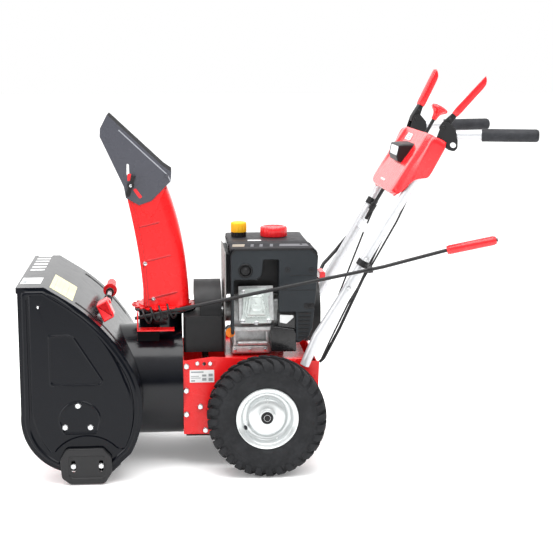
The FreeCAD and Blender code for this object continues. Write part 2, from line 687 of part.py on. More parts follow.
def left_lever(reach, rise):
    """A clutch lever: black base on its pivot and a long flat red paddle."""
    pivot = LEVER_PIVOT
    tip = pivot + V(reach, 0, rise)
    way = (tip - pivot).normalize()
    across = V(-way.z, 0, way.x)
    waist = pivot + way * 44
    corners = [waist + across * 7, tip + across * 6, tip - across * 6, waist - across * 8]
    paddle = Part.Face(Part.makePolygon(corners + corners[:1])).extrude(V(0, 24, 0))
    paddle.translate(V(0, -12, 0))
    paddle = round_edges(paddle, 4, V(0, 1, 0))
    corners = [pivot + across * 9, waist + across * 7.1, waist - across * 8, pivot - across * 9]
    base = Part.Face(Part.makePolygon(corners + corners[:1])).extrude(V(0, 20, 0))
    base.translate(V(0, -10, 0))
    hub = rod(pivot - V(0, 10, 0), pivot + V(0, 10, 0), 10)
    base = base.fuse(hub).cut(rod(pivot - V(0, 20, 0), pivot + V(0, 20, 0), 4.0 + RUNNING_GAP))
    return splayed(base.removeSplitter().fuse(paddle).removeSplitter(), pivot)


def left_lever_bracket():
    """The clamp on the bar and the two cheeks that hold the lever's pin."""
    pivot = LEVER_PIVOT
    outline = [(-12, 12), (14, 12), (38, -13), (38, -60), (6, -60), (-12, -33)]
    corners = [(pivot.x + a, pivot.z + b) for a, b in outline]
    cheeks = []
    for y in (pivot.y - 16.0, pivot.y + 13.0):
        cheeks.append(round_edges(plate_xz(corners, y, y + 3), 4, V(0, 1, 0)))
    pin = rod(pivot - V(0, 16, 0), pivot + V(0, 16, 0), 4.0)
    base = box(pivot.x + 4, pivot.x + 38, pivot.y - 16, pivot.y + 16, 903, 906)
    bracket = splayed(cheeks[0].multiFuse([cheeks[1], base, pin]), pivot)
    return bracket.cut(left_bar()).removeSplitter()


PANEL_HALF = 224.0
SHIFT_PIVOT = V(440.0, 0.0, 875.0)


def dash_panel():
    """The red console on the front of the bars, a hollow shell from bar to bar."""
    outer = [(355, 783), (455, 941), (466, 943), (485, 906), (446, 826), (400, 816), (376, 784)]
    inner = [(366, 790), (458, 935), (464, 936), (480, 905), (443, 830), (398, 820), (373, 789)]
    body = round_edges(plate_xz(outer, -PANEL_HALF, PANEL_HALF), 5, V(0, 1, 0))
    body = body.cut(plate_xz(inner, -PANEL_HALF + 4, PANEL_HALF - 4))
    ribs = [box(430, 450, y - 1.5, y + 1.5, 826, 885) for y in (-11.0, 11.0)]
    pin = rod(SHIFT_PIVOT - V(0, 12, 0), SHIFT_PIVOT + V(0, 12, 0), 4.0)
    body = body.multiFuse(ribs + [pin])
    for low, high in zip(BAR_KNOTS[3:5], BAR_KNOTS[4:6]):
        for side in (-1, 1):
            start, end = V(low[0], side * low[1], low[2]), V(high[0], side * high[1], high[2])
            body = body.cut(rod(start, end + (end - start) * 0.2, BAR_RADIUS + 1.2))
    for points in (DRIVE_CABLE, AUGER_CABLE, SHIFT_ROD, UPPER_HARNESS):
        for start, end in zip(points, points[1:3]):
            body = body.cut(rod(V(*start), V(*end), 8.0))
    return body.cut(box(448, 506, -9, 9, 880, 960)).removeSplitter()


LAMP_HALF = 66.0


def headlight_bezel():
    """A hooded lamp housing on the console, facing forwards."""
    outline = [(374, 852), (383, 910), (433.5, 907.5), (397, 850)]
    body = round_edges(plate_xz(outline, -LAMP_HALF, LAMP_HALF), 3, V(0, 1, 0))
    recess = [(360, 858), (368, 905), (388, 903), (379, 857)]
    return body.cut(plate_xz(recess, -LAMP_HALF + 5, LAMP_HALF - 5))


def headlight_lens():
    outline = [(376.5, 858.2), (384, 902.8), (387.4, 902.6), (378.8, 857.4)]
    return plate_xz(outline, -LAMP_HALF + 5.2, LAMP_HALF - 5.2)


def shift_lever():
    top = V(508, 0, 985)
    stem = bent_bar([SHIFT_PIVOT, V(478, 0, 930), top], 30, 5)
    hub = rod(SHIFT_PIVOT - V(0, 8, 0), SHIFT_PIVOT + V(0, 8, 0), 9)
    hole = rod(SHIFT_PIVOT - V(0, 20, 0), SHIFT_PIVOT + V(0, 20, 0), 4.0 + RUNNING_GAP)
    return stem.fuse(hub).cut(hole).removeSplitter()


def shift_knob():
    start, way = V(508, 0, 985), V(0.48, 0, 0.877)
    profile = [(0, 0), (0, 9), (8, 12), (16, 21), (25, 22), (32, 16), (35, 0)]
    return revolve(profile, start, way)


# Chute
def u_section(z, front, back, half, bend):
    """A U-shaped section at height z, with rounded rear corners and an open front."""
    diagonal = bend * (1 - math.sqrt(0.5))
    a, b = V(front, -half, z), V(back - bend, -half, z)
    c, d = V(back, -half + bend, z), V(back, half - bend, z)
    e, f = V(back - bend, half, z), V(front, half, z)
    edges = [
        Part.LineSegment(a, b).toShape(),
        Part.Arc(b, V(back - diagonal, -half + diagonal, z), c).toShape(),
        Part.LineSegment(c, d).toShape(),
        Part.Arc(d, V(back - diagonal, half - diagonal, z), e).toShape(),
        Part.LineSegment(e, f).toShape(),
        Part.LineSegment(f, a).toShape(),
    ]
    return Part.Wire(edges)


CHUTE_LEVELS = [(RING_Z + 6.0, -336.0, -208.0), (560.0, -344.0, -215.0), (650.0, -357.0, -229.0)]
CHUTE_LEVELS += [(800.0, -388.0, -274.0)]
CHUTE_HALF = 66.0


def chute():
    """The chute: a folded duct on a round collar, with an ear each side for the hood."""
    outer, inner = [], []
    for z, front, back in CHUTE_LEVELS:
        outer.append(u_section(z, front, back, CHUTE_HALF, 36.0))
        inner.append(u_section(z, front - 12.0, back - SHEET, CHUTE_HALF - SHEET, 33.0))
    outer_duct = Part.makeLoft(outer, True, False)
    collar = pipe(V(CHUTE_X, 0, RING_Z + 6), V(CHUTE_X, 0, RING_Z + 34), 63, 60)
    apron = box(-338, -335, -CHUTE_HALF + 1, CHUTE_HALF - 1, RING_Z + 6, RING_Z + 50)
    top = plate_xz([(-420, 757), (-345, 757), (-262, 784), (-200, 784), (-200, 900), (-420, 900)], -90, 90)
    duct = outer_duct.cut(Part.makeLoft(inner, True, False)).cut(top)
    pieces = [collar.cut(outer_duct), apron]
    for side in (-1, 1):
        y = side * (CHUTE_HALF + 0.5)
        ear = plate_xz([(-352, 752), (-318, 700), (-300, 720), (-260, 816), (-276, 816)], y - 1, y + 1)
        eye = rod(V(HINGE_X, y - 1, HINGE_Z), V(HINGE_X, y + 1, HINGE_Z), 9)
        hole = rod(V(HINGE_X, y - 9, HINGE_Z), V(HINGE_X, y + 9, HINGE_Z), 4.0 + RUNNING_GAP)
        pieces.append(ear.fuse(eye).cut(hole))
    return duct.multiFuse(pieces).removeSplitter()


def mesh_angle():
    """Where the crank's worm meets the chute ring, in degrees about the ring."""
    along = CRANK_EYELET - CRANK_FRONT
    return math.degrees(math.atan2(-along.x, along.y))


def chute_ring():
    ring = rod(V(CHUTE_X, 0, RING_Z - 2), V(CHUTE_X, 0, RING_Z + 2), RING_RADIUS)
    ring = ring.cut(rod(V(CHUTE_X, 0, RING_Z - 9), V(CHUTE_X, 0, RING_Z + 9), 58))
    cuts = []
    start = mesh_angle()
    for k in range(RING_NOTCHES):
        notch = box(RING_RADIUS - 11, RING_RADIUS + 5, -7.5, 7.5, RING_Z - 5, RING_Z + 5)
        notch.rotate(V(0, 0, 0), V(0, 0, 1), start + 360.0 * k / RING_NOTCHES)
        notch.translate(V(CHUTE_X, 0, 0))
        cuts.append(notch)
    collar = pipe(V(CHUTE_X, 0, RING_Z + 2), V(CHUTE_X, 0, RING_Z + 6), 76, 58)
    return ring.cut(Part.makeCompound(cuts)).fuse(collar).removeSplitter()


HOOD_HALF = CHUTE_HALF + 5.0
CLAMP_X, CLAMP_Z = -368.0, 795.0


def deflector():
    """The hood over the chute: two cheeks, a sloping back and the hinge pin at its rear."""
    cheek = [(-430, 992), (-450, 953), (-451, 931), (-387, 791), (-382, 760), (-346, 739), (-311, 751)]
    cheek += [(-256, 806), (-254, 832), (-276, 847)]
    inside = [(-500, 950), (-500, 929), (-395, 700), (-300, 700), (-257, 790), (-257.5, 829), (-278, 841)]
    inside += [(-433, 986), (-450, 986)]
    hood = plate_xz(cheek, -HOOD_HALF, HOOD_HALF)
    hood = hood.cut(plate_xz(inside, -HOOD_HALF + 2.5, HOOD_HALF - 2.5))
    pieces = [rod(V(HINGE_X, -HOOD_HALF - 5, HINGE_Z), V(HINGE_X, HOOD_HALF + 5, HINGE_Z), 4.0)]
    for side in (-1, 1):
        y = side * HOOD_HALF
        pieces.append(rod(V(CLAMP_X, y - side, CLAMP_Z), V(CLAMP_X, y + side * 9, CLAMP_Z), 6))
    return hood.multiFuse(pieces).removeSplitter()


def wing_knobs():
    """A winged nut each side, clamping the hood's tilt."""
    hub = rod(V(CLAMP_X, -HOOD_HALF, CLAMP_Z), V(CLAMP_X, -HOOD_HALF - 14, CLAMP_Z), 9)
    y = -HOOD_HALF - 14
    wing = rounded_box(CLAMP_X - 22, CLAMP_X + 22, y, y + 8, CLAMP_Z - 6, CLAMP_Z + 6, 5, V(0, 1, 0))
    stud = rod(V(CLAMP_X, -HOOD_HALF + 2, CLAMP_Z), V(CLAMP_X, -HOOD_HALF - 9, CLAMP_Z), 6.0)
    return side_pair(hub.fuse(wing).cut(stud).removeSplitter())


# Chute crank
def crank_frame():
    along = (CRANK_EYELET - CRANK_FRONT).normalize()
    return FreeCAD.Placement(CRANK_FRONT, FreeCAD.Rotation(V(0, 0, 1), along))


WORM_RADIUS, WORM_WIRE = 20.0, 3.0


def crank_side():
    """Square to the crank's axis, level and towards the machine's middle."""
    along = (CRANK_EYELET - CRANK_FRONT).normalize()
    side = V(0, 1, 0) - along * along.dot(V(0, 1, 0))
    return side.normalize()


def crank_rod():
    """The crank: a long straight shaft with a coarse open worm, and a stepped-out handle."""
    along = (CRANK_EYELET - CRANK_FRONT).normalize()
    side = crank_side()
    knee = CRANK_EYELET + along * 38
    grip_start = knee + along * 172 + side * 46
    shaft = bent_bar([CRANK_FRONT - along * 20, knee, grip_start, grip_start + along * 148], 24, 5)
    reach = (V(CHUTE_X, 0, RING_Z) - CRANK_FRONT).dot(along)
    pitch = 2 * math.pi * (RING_RADIUS - 4) / RING_NOTCHES
    start = reach - 2.0 * pitch
    inwards = V(0, 1, 0) - along * along.dot(V(0, 1, 0))
    inwards.normalize()
    across = along.cross(inwards)
    per_turn = 12
    line = []
    for k in range(4 * per_turn + 1):
        angle = 2 * math.pi * k / per_turn
        spoke = inwards * math.cos(angle) + across * math.sin(angle)
        line.append(CRANK_FRONT + along * (start + pitch * k / per_turn) + spoke * WORM_RADIUS)
    curve = Part.BSplineCurve()
    curve.interpolate(line)
    section = Part.Wire(Part.Circle(line[0], curve.tangent(curve.FirstParameter)[0], WORM_WIRE).toShape())
    coil = Part.Wire(curve.toShape()).makePipeShell([section], True, True)
    posts = []
    for k in (0, 4):
        at = CRANK_FRONT + along * (start + k * pitch)
        posts.append(rod(at, at + inwards * (WORM_RADIUS + 1), WORM_WIRE + 0.4))
    return shaft.multiFuse([coil] + posts)


def crank_grip():
    along = (CRANK_EYELET - CRANK_FRONT).normalize()
    start = CRANK_EYELET + along * (38 + 172 + 6) + crank_side() * 46
    profile = [(0, 5), (0, 11), (8, 13), (130, 13), (138, 10), (138, 5)]
    side = V(0, 1, 0).cross(along).normalize()
    corners = [start + along * a + side * r for a, r in profile]
    return Part.Face(Part.makePolygon(corners + corners[:1])).revolve(start, along, 360)


def crank_eyelet():
    """A ring for the crank on a clamp round the left bar."""
    along = (CRANK_EYELET - CRANK_FRONT).normalize()
    low, high = [V(x, -y, z) for x, y, z in BAR_KNOTS[2:4]]
    way = (high - low).normalize()
    middle = low + way * ((CRANK_EYELET - low).dot(way))
    ring = rod(CRANK_EYELET - along * 7, CRANK_EYELET + along * 7, 10)
    stem = rod(middle, CRANK_EYELET, 5)
    clamp = rod(middle - way * 9, middle + way * 9, BAR_RADIUS + 4)
    body = clamp.fuse(stem).fuse(ring)
    body = body.cut(rod(middle - way * 60, middle + way * 60, BAR_RADIUS + 0.1))
    return body.cut(rod(CRANK_EYELET - along * 30, CRANK_EYELET + along * 30, 5.0 + RUNNING_GAP))


def worm_bracket():
    """The red angle that carries the front end of the crank."""
    along = (CRANK_EYELET - CRANK_FRONT).normalize()
    centre = CRANK_FRONT - along * 12
    ear = box(centre.x - 2, centre.x + 2, -122, -84, 392, centre.z + 16)
    foot = box(centre.x - 2, -252, -122, -84, 388, 392)
    leg = box(centre.x - 2, centre.x + 60, -94, -84, 340, 392)
    bracket = ear.fuse(foot).fuse(leg)
    bracket = bracket.cut(rod(centre - along * 20, centre + along * 20, 5.0 + RUNNING_GAP))
    drum = rod(V(-480, 0, DRUM_Z), V(-200, 0, DRUM_Z), DRUM_RADIUS + 0.05)
    bracket = bracket.cut(drum).cut(housing_prism(WRAP_HALF))
    return bracket.removeSplitter()


# Clean-out tool
def clean_out_tool():
    """A stick carried across the housing: a grip with a collar, a shaft and a flat scoop."""
    profile = [(60, 0), (60, 20), (64, 20), (66, 13), (180, 14), (188, 10), (190, 0)]
    grip = revolve(profile, V(TOOL_X, 0, TOOL_Z), V(0, 1, 0))
    shaft = rod(V(TOOL_X, -120, TOOL_Z), V(TOOL_X, 61, TOOL_Z), 5)
    scoop = plate_xy([(-28, -112), (28, -112), (34, -190), (-22, -176)], -2.5, 2.5)
    scoop = round_edges(scoop, 5, V(0, 0, 1))
    scoop = scoop.fuse(rod(V(0, -126, 0), V(0, -104, 0), 8))
    scoop.rotate(V(0, 0, 0), V(0, 1, 0), -52)
    scoop.translate(V(TOOL_X, 0, TOOL_Z))
    return grip.multiFuse([shaft, scoop]).removeSplitter()


CABLE_RADIUS, SHIFT_ROD_RADIUS = 2.6, 4.5
HARNESS_RADIUS = 5.5
DRIVE_CABLE = [(486, -190, 906), (430, -178, 838), (369, -166, 700), (303, -152, 576), (240, -138, 466)]
DRIVE_CABLE += [(190, -128, 357), (166, -120, 300)]
AUGER_CABLE = [(404, 140, 800), (364, 134, 730), (314, 100, 628), (236, 72, 440), (186, 72, 318)]
AUGER_CABLE += [(166, 72, 296)]
SHIFT_ROD = [(434, -30, 806), (330, -90, 620), (216, -118, 385), (172, -118, 300), (160, -118, 290)]
UPPER_HARNESS = [(396, 96, 800), (369, 104, 752), (344, 118, 704), (327, 126, 668)]
LOWER_HARNESS = [(296, 195, 618), (278, 206, 600), (246, 202, 562), (207, 187, 524), (182, 168, 482)]
LOWER_HARNESS += [(168, 138, 450), (156, 96, 436)]


def control_cables():
    """Two clutch cables, the speed rod and the lamp's harness, from the controls down to the rear."""
    runs = [(DRIVE_CABLE, CABLE_RADIUS, 30), (AUGER_CABLE, CABLE_RADIUS, 30)]
    runs += [(SHIFT_ROD, SHIFT_ROD_RADIUS, 30)]
    runs += [(UPPER_HARNESS, HARNESS_RADIUS, 30), (LOWER_HARNESS, HARNESS_RADIUS, 14)]
    return [bent_bar([V(*p) for p in points], bend, radius) for points, radius, bend in runs]


def fasteners():
    """Bolt heads on the housing, skids and frame."""
    bolts = y_bolts(BEARING_BOLTS, HOUSING_HALF_WIDTH, 1.0, 13, 5)
    bolts += y_bolts([(-220, 292), (-221, 222), (-221, 153), (-182, 175), (-168, 106)], FRAME_HALF, 1.0)
    bolts += y_bolts([(-189, 300), (-153, 299)], FRAME_HALF, 1.0, 10, 4)
    for x, z in SKID_BOLTS:
        stud = rod(V(x, -PLATE_FACE, z), V(x, -HOUSING_HALF_WIDTH - 8, z), 5)
        head = hex_head(V(x, -HOUSING_HALF_WIDTH - 7.4, z), V(0, -1, 0), 13, 4.4)
        bolts += side_pair(stud.fuse(head).removeSplitter())
    return bolts


def bushes():
    parts = []
    for side in (-1, 1):
        face = V(AUGER_X, side * (WRAP_HALF - 3), AUGER_Z)
        parts.append(bush(face, V(0, -side, 0), 12.56, 16.0, 30, 6))
        face = V(0, side * FRAME_HALF, WHEEL_RADIUS)
        parts.append(bush(face, V(0, -side, 0), AXLE_RADIUS + RUNNING_GAP, 13.9, 22, 12))
    return parts


def auger_shaft():
    return rod(V(AUGER_X, -273, AUGER_Z), V(AUGER_X, 273, AUGER_Z), 12.5)


PARTS = {
    "auger_housing": auger_housing,
    "side_plates": lambda: side_pair(left_side_plate()),
    "scraper_bar": scraper_bar,
    "skid_left": left_skid,
    "skid_right": lambda: side_pair(left_skid())[1],
    "auger_shaft": auger_shaft,
    "auger_left": lambda: flight(-1),
    "auger_right": lambda: flight(1),
    "worm_wheel": worm_wheel,
    "gearbox_case": gearbox,
    "impeller_shaft": impeller_shaft,
    "impeller": impeller,
    "impeller_pulley": lambda: grooved_pulley(PULLEY_FRONT, PULLEY_BACK, DRUM_Z, LARGE_PULLEY, SHAFT_RADIUS),
    "impeller_drum": impeller_drum,
    "drive_belt": drive_belt,
    "drive_frame": drive_frame,
    "bottom_cover": bottom_cover,
    "belt_cover": belt_cover,
    "axle": axle,
    "tyres": lambda: [tyre(-1), tyre(1)],
    "rims": lambda: [rim(-1), rim(1)],
    "bushes": bushes,
    "crankcase": crankcase,
    "cylinder": cylinder,
    "valve_cover": valve_cover,
    "crankshaft": crankshaft,
    "side_cover": side_cover,
    "primer_bulb": primer_bulb,
    "engine_shroud": engine_shroud,
    "fuel_tank": fuel_tank,
    "fuel_cap": fuel_cap,
    "oil_cap": oil_cap,
    "dipstick": dipstick,
    "muffler": muffler,
    "muffler_guard": muffler_guard,
    "starter_handle": starter_handle,
    "carburettor": carburettor,
    "spark_plug": spark_plug,
    "handlebars": lambda: side_pair(left_bar()),
    "crossbar": crossbar,
    "grips": lambda: side_pair(left_grip()),
    "lever_left": lambda: left_lever(118, 133),
    "lever_right": lambda: side_pair(left_lever(77, 145))[1],
    "lever_brackets": lambda: side_pair(left_lever_bracket()),
    "dash_panel": dash_panel,
    "headlight_bezel": headlight_bezel,
    "headlight_lens": headlight_lens,
    "shift_lever": shift_lever,
    "shift_knob": shift_knob,
    "chute": chute,
    "chute_ring": chute_ring,
    "deflector": deflector,
    "wing_knobs": wing_knobs,
    "crank_rod": crank_rod,
    "crank_grip": crank_grip,
    "crank_eyelet": crank_eyelet,
    "worm_bracket": worm_bracket,
    "clean_out_tool": clean_out_tool,
    "control_cables": control_cables,
    "fasteners": fasteners,
}


def main():
    os.makedirs("parts", exist_ok=True)
    for name, build in PARTS.items():
        shape = build()
        if isinstance(shape, list):
            shape = Part.makeCompound(shape)
        shape.translate(V(-ORIGIN_X, 0, 0))
        solids = shape.Solids
        state = "valid" if shape.isValid() else "INVALID"
        print(name, len(solids), state, round(sum(s.Volume for s in solids)))
        kept = solids[0] if len(solids) == 1 else Part.makeCompound(solids)
        kept.exportStep("parts/" + name + ".step")


main()
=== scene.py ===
"""A two stage snowblower: the looks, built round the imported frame.

Z is up, forward is -X and left is -Y. Blender's lengths are metres. The shapes are given in
millimetres from the ground under the axle's middle, and at() turns them into metres.
"""
import json
import math

import bmesh
import bpy
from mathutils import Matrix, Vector


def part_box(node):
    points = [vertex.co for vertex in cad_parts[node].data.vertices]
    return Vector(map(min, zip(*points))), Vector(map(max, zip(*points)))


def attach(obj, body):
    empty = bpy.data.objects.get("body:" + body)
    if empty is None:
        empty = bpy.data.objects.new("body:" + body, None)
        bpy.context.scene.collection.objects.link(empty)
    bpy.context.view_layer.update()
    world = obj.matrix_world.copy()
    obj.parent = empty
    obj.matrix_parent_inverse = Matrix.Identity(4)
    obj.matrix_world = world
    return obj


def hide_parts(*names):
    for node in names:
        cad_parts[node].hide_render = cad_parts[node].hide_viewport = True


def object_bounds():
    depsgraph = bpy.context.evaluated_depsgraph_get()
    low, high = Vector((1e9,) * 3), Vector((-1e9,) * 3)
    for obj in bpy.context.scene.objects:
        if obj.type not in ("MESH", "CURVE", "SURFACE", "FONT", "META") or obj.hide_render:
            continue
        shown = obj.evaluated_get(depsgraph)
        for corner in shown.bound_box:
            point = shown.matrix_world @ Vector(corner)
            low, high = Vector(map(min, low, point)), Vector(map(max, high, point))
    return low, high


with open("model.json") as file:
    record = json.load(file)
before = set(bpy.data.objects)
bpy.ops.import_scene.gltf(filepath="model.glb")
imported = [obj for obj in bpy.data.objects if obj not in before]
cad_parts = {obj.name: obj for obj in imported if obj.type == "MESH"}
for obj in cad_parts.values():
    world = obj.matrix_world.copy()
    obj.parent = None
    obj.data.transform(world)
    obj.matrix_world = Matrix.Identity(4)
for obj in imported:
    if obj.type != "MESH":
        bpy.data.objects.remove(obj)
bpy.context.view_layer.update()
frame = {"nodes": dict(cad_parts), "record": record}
NODES = frame["nodes"]

AXLE_X = -0.030  # the wheels' axle in the frame's X, in metres
AXLE_HEIGHT = 166  # millimetres, as all the numbers given to at() are
SIDES = ((-1, "left"), (1, "right"))
LEAST_RADIUS = 0.00005  # where a turned profile closes on its own axis


def at(x, y, z):
    """A place given in millimetres from the axle's middle, on the ground below it."""
    return Vector((AXLE_X + x / 1000, y / 1000, z / 1000))


# ---- materials
class Shader:
    """A node material in the making: each method adds nodes and returns an output socket."""

    def __init__(self, name, color, rough, metal=0.0, coat=0.0, specular=0.5, ior=1.36):
        self.material = bpy.data.materials.new(name)
        self.material.use_nodes = True
        self.tree = self.material.node_tree
        self.bsdf = self.tree.nodes["Principled BSDF"]
        self.base = color
        self.place = self.tree.nodes.new("ShaderNodeTexCoord").outputs["Object"]
        self.bsdf.inputs["Base Color"].default_value = (*color, 1)
        self.bsdf.inputs["Roughness"].default_value = rough
        self.bsdf.inputs["Metallic"].default_value = metal
        self.bsdf.inputs["Coat Weight"].default_value = coat
        self.bsdf.inputs["Coat Roughness"].default_value = 0.08
        self.bsdf.inputs["Specular IOR Level"].default_value = specular
        self.bsdf.inputs["IOR"].default_value = ior
        self.height = None

    def node(self, kind, links=(), **values):
        made = self.tree.nodes.new(kind)
        for key, value in values.items():
            setattr(made, key, value)
        for socket, source in links:
            self.tree.links.new(source, made.inputs[socket])
        return made

    def noise(self, scale, detail=3.0, rough=0.5):
        made = self.node("ShaderNodeTexNoise", [("Vector", self.place)])
        made.inputs["Scale"].default_value = scale
        made.inputs["Detail"].default_value = detail
        made.inputs["Roughness"].default_value = rough
        return made.outputs["Fac"]

    def cells(self, scale):
        made = self.node("ShaderNodeTexVoronoi", [("Vector", self.place)], feature="F1")
        made.inputs["Scale"].default_value = scale
        return made.outputs["Distance"]

    def remap(self, source, low, high, start=0.3, end=0.7):
        made = self.node("ShaderNodeMapRange", [("Value", source)])
        for socket, value in (("From Min", start), ("From Max", end), ("To Min", low), ("To Max", high)):
            made.inputs[socket].default_value = value
        return made.outputs["Result"]

    def tint(self, source, other, start=0.3, end=0.7):
        """Base colour going to another one where the source is high."""
        made = self.node("ShaderNodeMix", data_type="RGBA")
        made.inputs["A"].default_value = (*self.base, 1)
        made.inputs["B"].default_value = (*other, 1)
        self.tree.links.new(self.remap(source, 0, 1, start, end), made.inputs["Factor"])
        self.tree.links.new(made.outputs["Result"], self.bsdf.inputs["Base Color"])

    def roughness(self, source, low, high):
        self.tree.links.new(self.remap(source, low, high), self.bsdf.inputs["Roughness"])

    def bump(self, source, depth):
        """Adds relief of the given depth in metres."""
        made = self.node("ShaderNodeBump", [("Height", source)])
        made.inputs["Strength"].default_value = 1.0
        made.inputs["Distance"].default_value = depth
        if self.height is not None:
            self.tree.links.new(self.height, made.inputs["Normal"])
        self.height = made.outputs["Normal"]
        self.tree.links.new(self.height, self.bsdf.inputs["Normal"])


def shade(color, factor):
    return tuple(channel * factor for channel in color)


def paint(name, color, rough, coat, peel=0.00006, metal=0.0, specular=0.5):
    """Sprayed paint: faint orange peel under the gloss, slightly uneven tone."""
    made = Shader(name, color, rough, metal=metal, coat=coat, specular=specular)
    made.tint(made.noise(9, 4), shade(color, 0.9))
    made.roughness(made.noise(35, 5), rough - 0.03, rough + 0.04)
    made.bump(made.noise(420, 2), peel)
    return made.material


def plastic(name, color, rough, grain, coat=0.0):
    """Moulded plastic with a fine spark-eroded grain."""
    made = Shader(name, color, rough, coat=coat)
    made.tint(made.noise(14, 4), shade(color, 0.8))
    made.roughness(made.noise(60, 4), rough - 0.06, rough + 0.08)
    made.bump(made.cells(900), grain)
    made.bump(made.noise(250, 3), grain * 0.6)
    return made.material


def rubber(name, color, rough):
    """Moulded rubber: dull, with dusty patches at random."""
    made = Shader(name, color, rough, specular=0.35)
    made.tint(made.noise(28, 6, 0.65), shade(color, 1.9), 0.45, 0.8)
    made.roughness(made.noise(90, 4), rough - 0.1, rough + 0.1)
    made.bump(made.noise(700, 3), 0.00012)
    return made.material


def metal(name, color, rough, grain=0.00004):
    """Plated or bare metal with cloudy roughness."""
    made = Shader(name, color, rough, metal=1.0)
    made.tint(made.noise(45, 5), shade(color, 0.78))
    made.roughness(made.noise(70, 5), rough - 0.08, rough + 0.1)
    made.bump(made.noise(600, 3), grain)
    return made.material


def casting(name, color, rough):
    """Sand-textured cast aluminium."""
    made = Shader(name, color, rough, metal=0.55)
    made.tint(made.noise(60, 6, 0.7), shade(color, 0.62), 0.4, 0.75)
    made.roughness(made.noise(120, 4), rough - 0.1, rough + 0.12)
    made.bump(made.noise(520, 5, 0.7), 0.00035)
    return made.material


def lens(name, color):
    """Clear moulded plastic with faint waves."""
    made = Shader(name, color, 0.12, coat=0.6)
    made.bsdf.inputs["Transmission Weight"].default_value = 0.25
    made.tint(made.noise(70, 3), shade(color, 0.9))
    made.bump(made.node("ShaderNodeTexWave", [("Vector", made.place)], bands_direction="Y").outputs["Fac"],
              0.0002)
    return made.material


def matte(name, color, rough, specular):
    """Sprayed or moulded black that takes hardly any reflection."""
    made = Shader(name, color, rough, specular=specular)
    made.tint(made.noise(14, 4), shade(color, 1.6))
    made.roughness(made.noise(60, 4), rough - 0.06, rough + 0.08)
    made.bump(made.noise(500, 3), 0.00003)
    return made.material


def clean_casting(name, color):
    """Die-cast aluminium with a fine skin and a soft, even shine."""
    made = Shader(name, color, 0.3, metal=0.3)
    made.tint(made.noise(60, 6, 0.7), shade(color, 0.8), 0.4, 0.75)
    made.roughness(made.noise(120, 4), 0.24, 0.42)
    made.bump(made.noise(520, 5, 0.7), 0.00006)
    return made.material


MATTE_BLACK = matte("matte_black", (0.007, 0.007, 0.008), 0.7, 0.12)
CLEAN_ALLOY = clean_casting("clean_alloy", (0.59, 0.64, 0.62))
# the side plates' copy of the housing paint, a little darker as painted shade on the dim front side, and with
# less specular
PLATE_SHADED_PAINT = paint("plate_painted_shade", (0.0024, 0.0032, 0.0056), 0.15, 0.0, 0.000002, specular=0.3)
MATERIALS = {
    "housing_paint": paint("housing_paint", (0.0032, 0.0038, 0.0062), 0.17, 0.0, 0.000002),
    "red_paint": paint("red_paint", (0.80, 0.010, 0.012), 0.28, 0.1, 0.00001),
    "black_steel": paint("black_steel", (0.011, 0.011, 0.012), 0.42, 0.1, 0.0001),
    "zinc_steel": metal("zinc_steel", (0.66, 0.67, 0.68), 0.28),
    "bar_paint": paint("bar_paint", (0.62, 0.63, 0.65), 0.34, 0.3, metal=0.45),
    "rim_paint": paint("rim_paint", (0.66, 0.685, 0.685), 0.24, 0.2, 0.00001, metal=0.55),
    "tyre_rubber": rubber("tyre_rubber", (0.014, 0.0145, 0.016), 0.72),
    "grip_rubber": rubber("grip_rubber", (0.022, 0.023, 0.026), 0.62),
    "cast_alloy": casting("cast_alloy", (0.66, 0.67, 0.67), 0.4),
    "gear_bronze": metal("gear_bronze", (0.55, 0.36, 0.15), 0.3),
    "cover_plastic": plastic("cover_plastic", (0.016, 0.020, 0.024), 0.46, 0.00016),
    "black_plastic": plastic("black_plastic", (0.010, 0.010, 0.011), 0.44, 0.0001),
    "hood_plastic": plastic("hood_plastic", (0.010, 0.010, 0.011), 0.24, 0.00002, coat=0.3),
    "red_plastic": plastic("red_plastic", (0.86, 0.020, 0.026), 0.24, 0.00001, coat=0.35),
    "yellow_plastic": plastic("yellow_plastic", (0.86, 0.46, 0.012), 0.4, 0.00005),
    "orange_plastic": plastic("orange_plastic", (0.9, 0.24, 0.012), 0.4, 0.00005),
    "belt_rubber": rubber("belt_rubber", (0.014, 0.014, 0.014), 0.7),
    "lamp_lens": lens("lamp_lens", (0.86, 0.88, 0.9)),
    "exhaust_steel": metal("exhaust_steel", (0.34, 0.33, 0.32), 0.45, 0.0001),
}


# ---- mesh helpers
SLOT_OF = {row["node"]: row["material_slot"] for row in frame["record"]["subparts"]}
BODY_OF = {node: body for body, nodes in frame["record"]["behaviour"]["bodies"].items() for node in nodes}
REPLACED = set()


def oblong(low, high, bottom, top):
    """A flat outline with square corners."""
    return [(low, bottom), (high, bottom), (high, top), (low, top)]


def circle(x, z, radius, steps):
    turns = [2 * math.pi * k / steps for k in range(steps)]
    return [(x + radius * math.cos(t), z + radius * math.sin(t)) for t in turns]


def finish_mesh(mesh, sharp=35):
    """Smooth shading, with creases where faces meet at more than the given angle."""
    mesh.shade_smooth()
    mesh.set_sharp_from_angle(angle=math.radians(sharp))
    return mesh


def mesh_from(name, form, sharp=35):
    """A mesh from a bmesh, its faces turned outwards."""
    bmesh.ops.recalc_face_normals(form, faces=form.faces)
    mesh = bpy.data.meshes.new(name)
    form.to_mesh(mesh)
    form.free()
    return finish_mesh(mesh, sharp)


def skin(form, rows, closed=True, loop=False):
    """Faces between successive rows of vertices."""
    count = len(rows[0])
    for low, high in zip(rows, rows[1:] + (rows[:1] if loop else [])):
        for k in range(count if closed else count - 1):
            j = (k + 1) % count
            form.faces.new((low[k], low[j], high[j], high[k]))


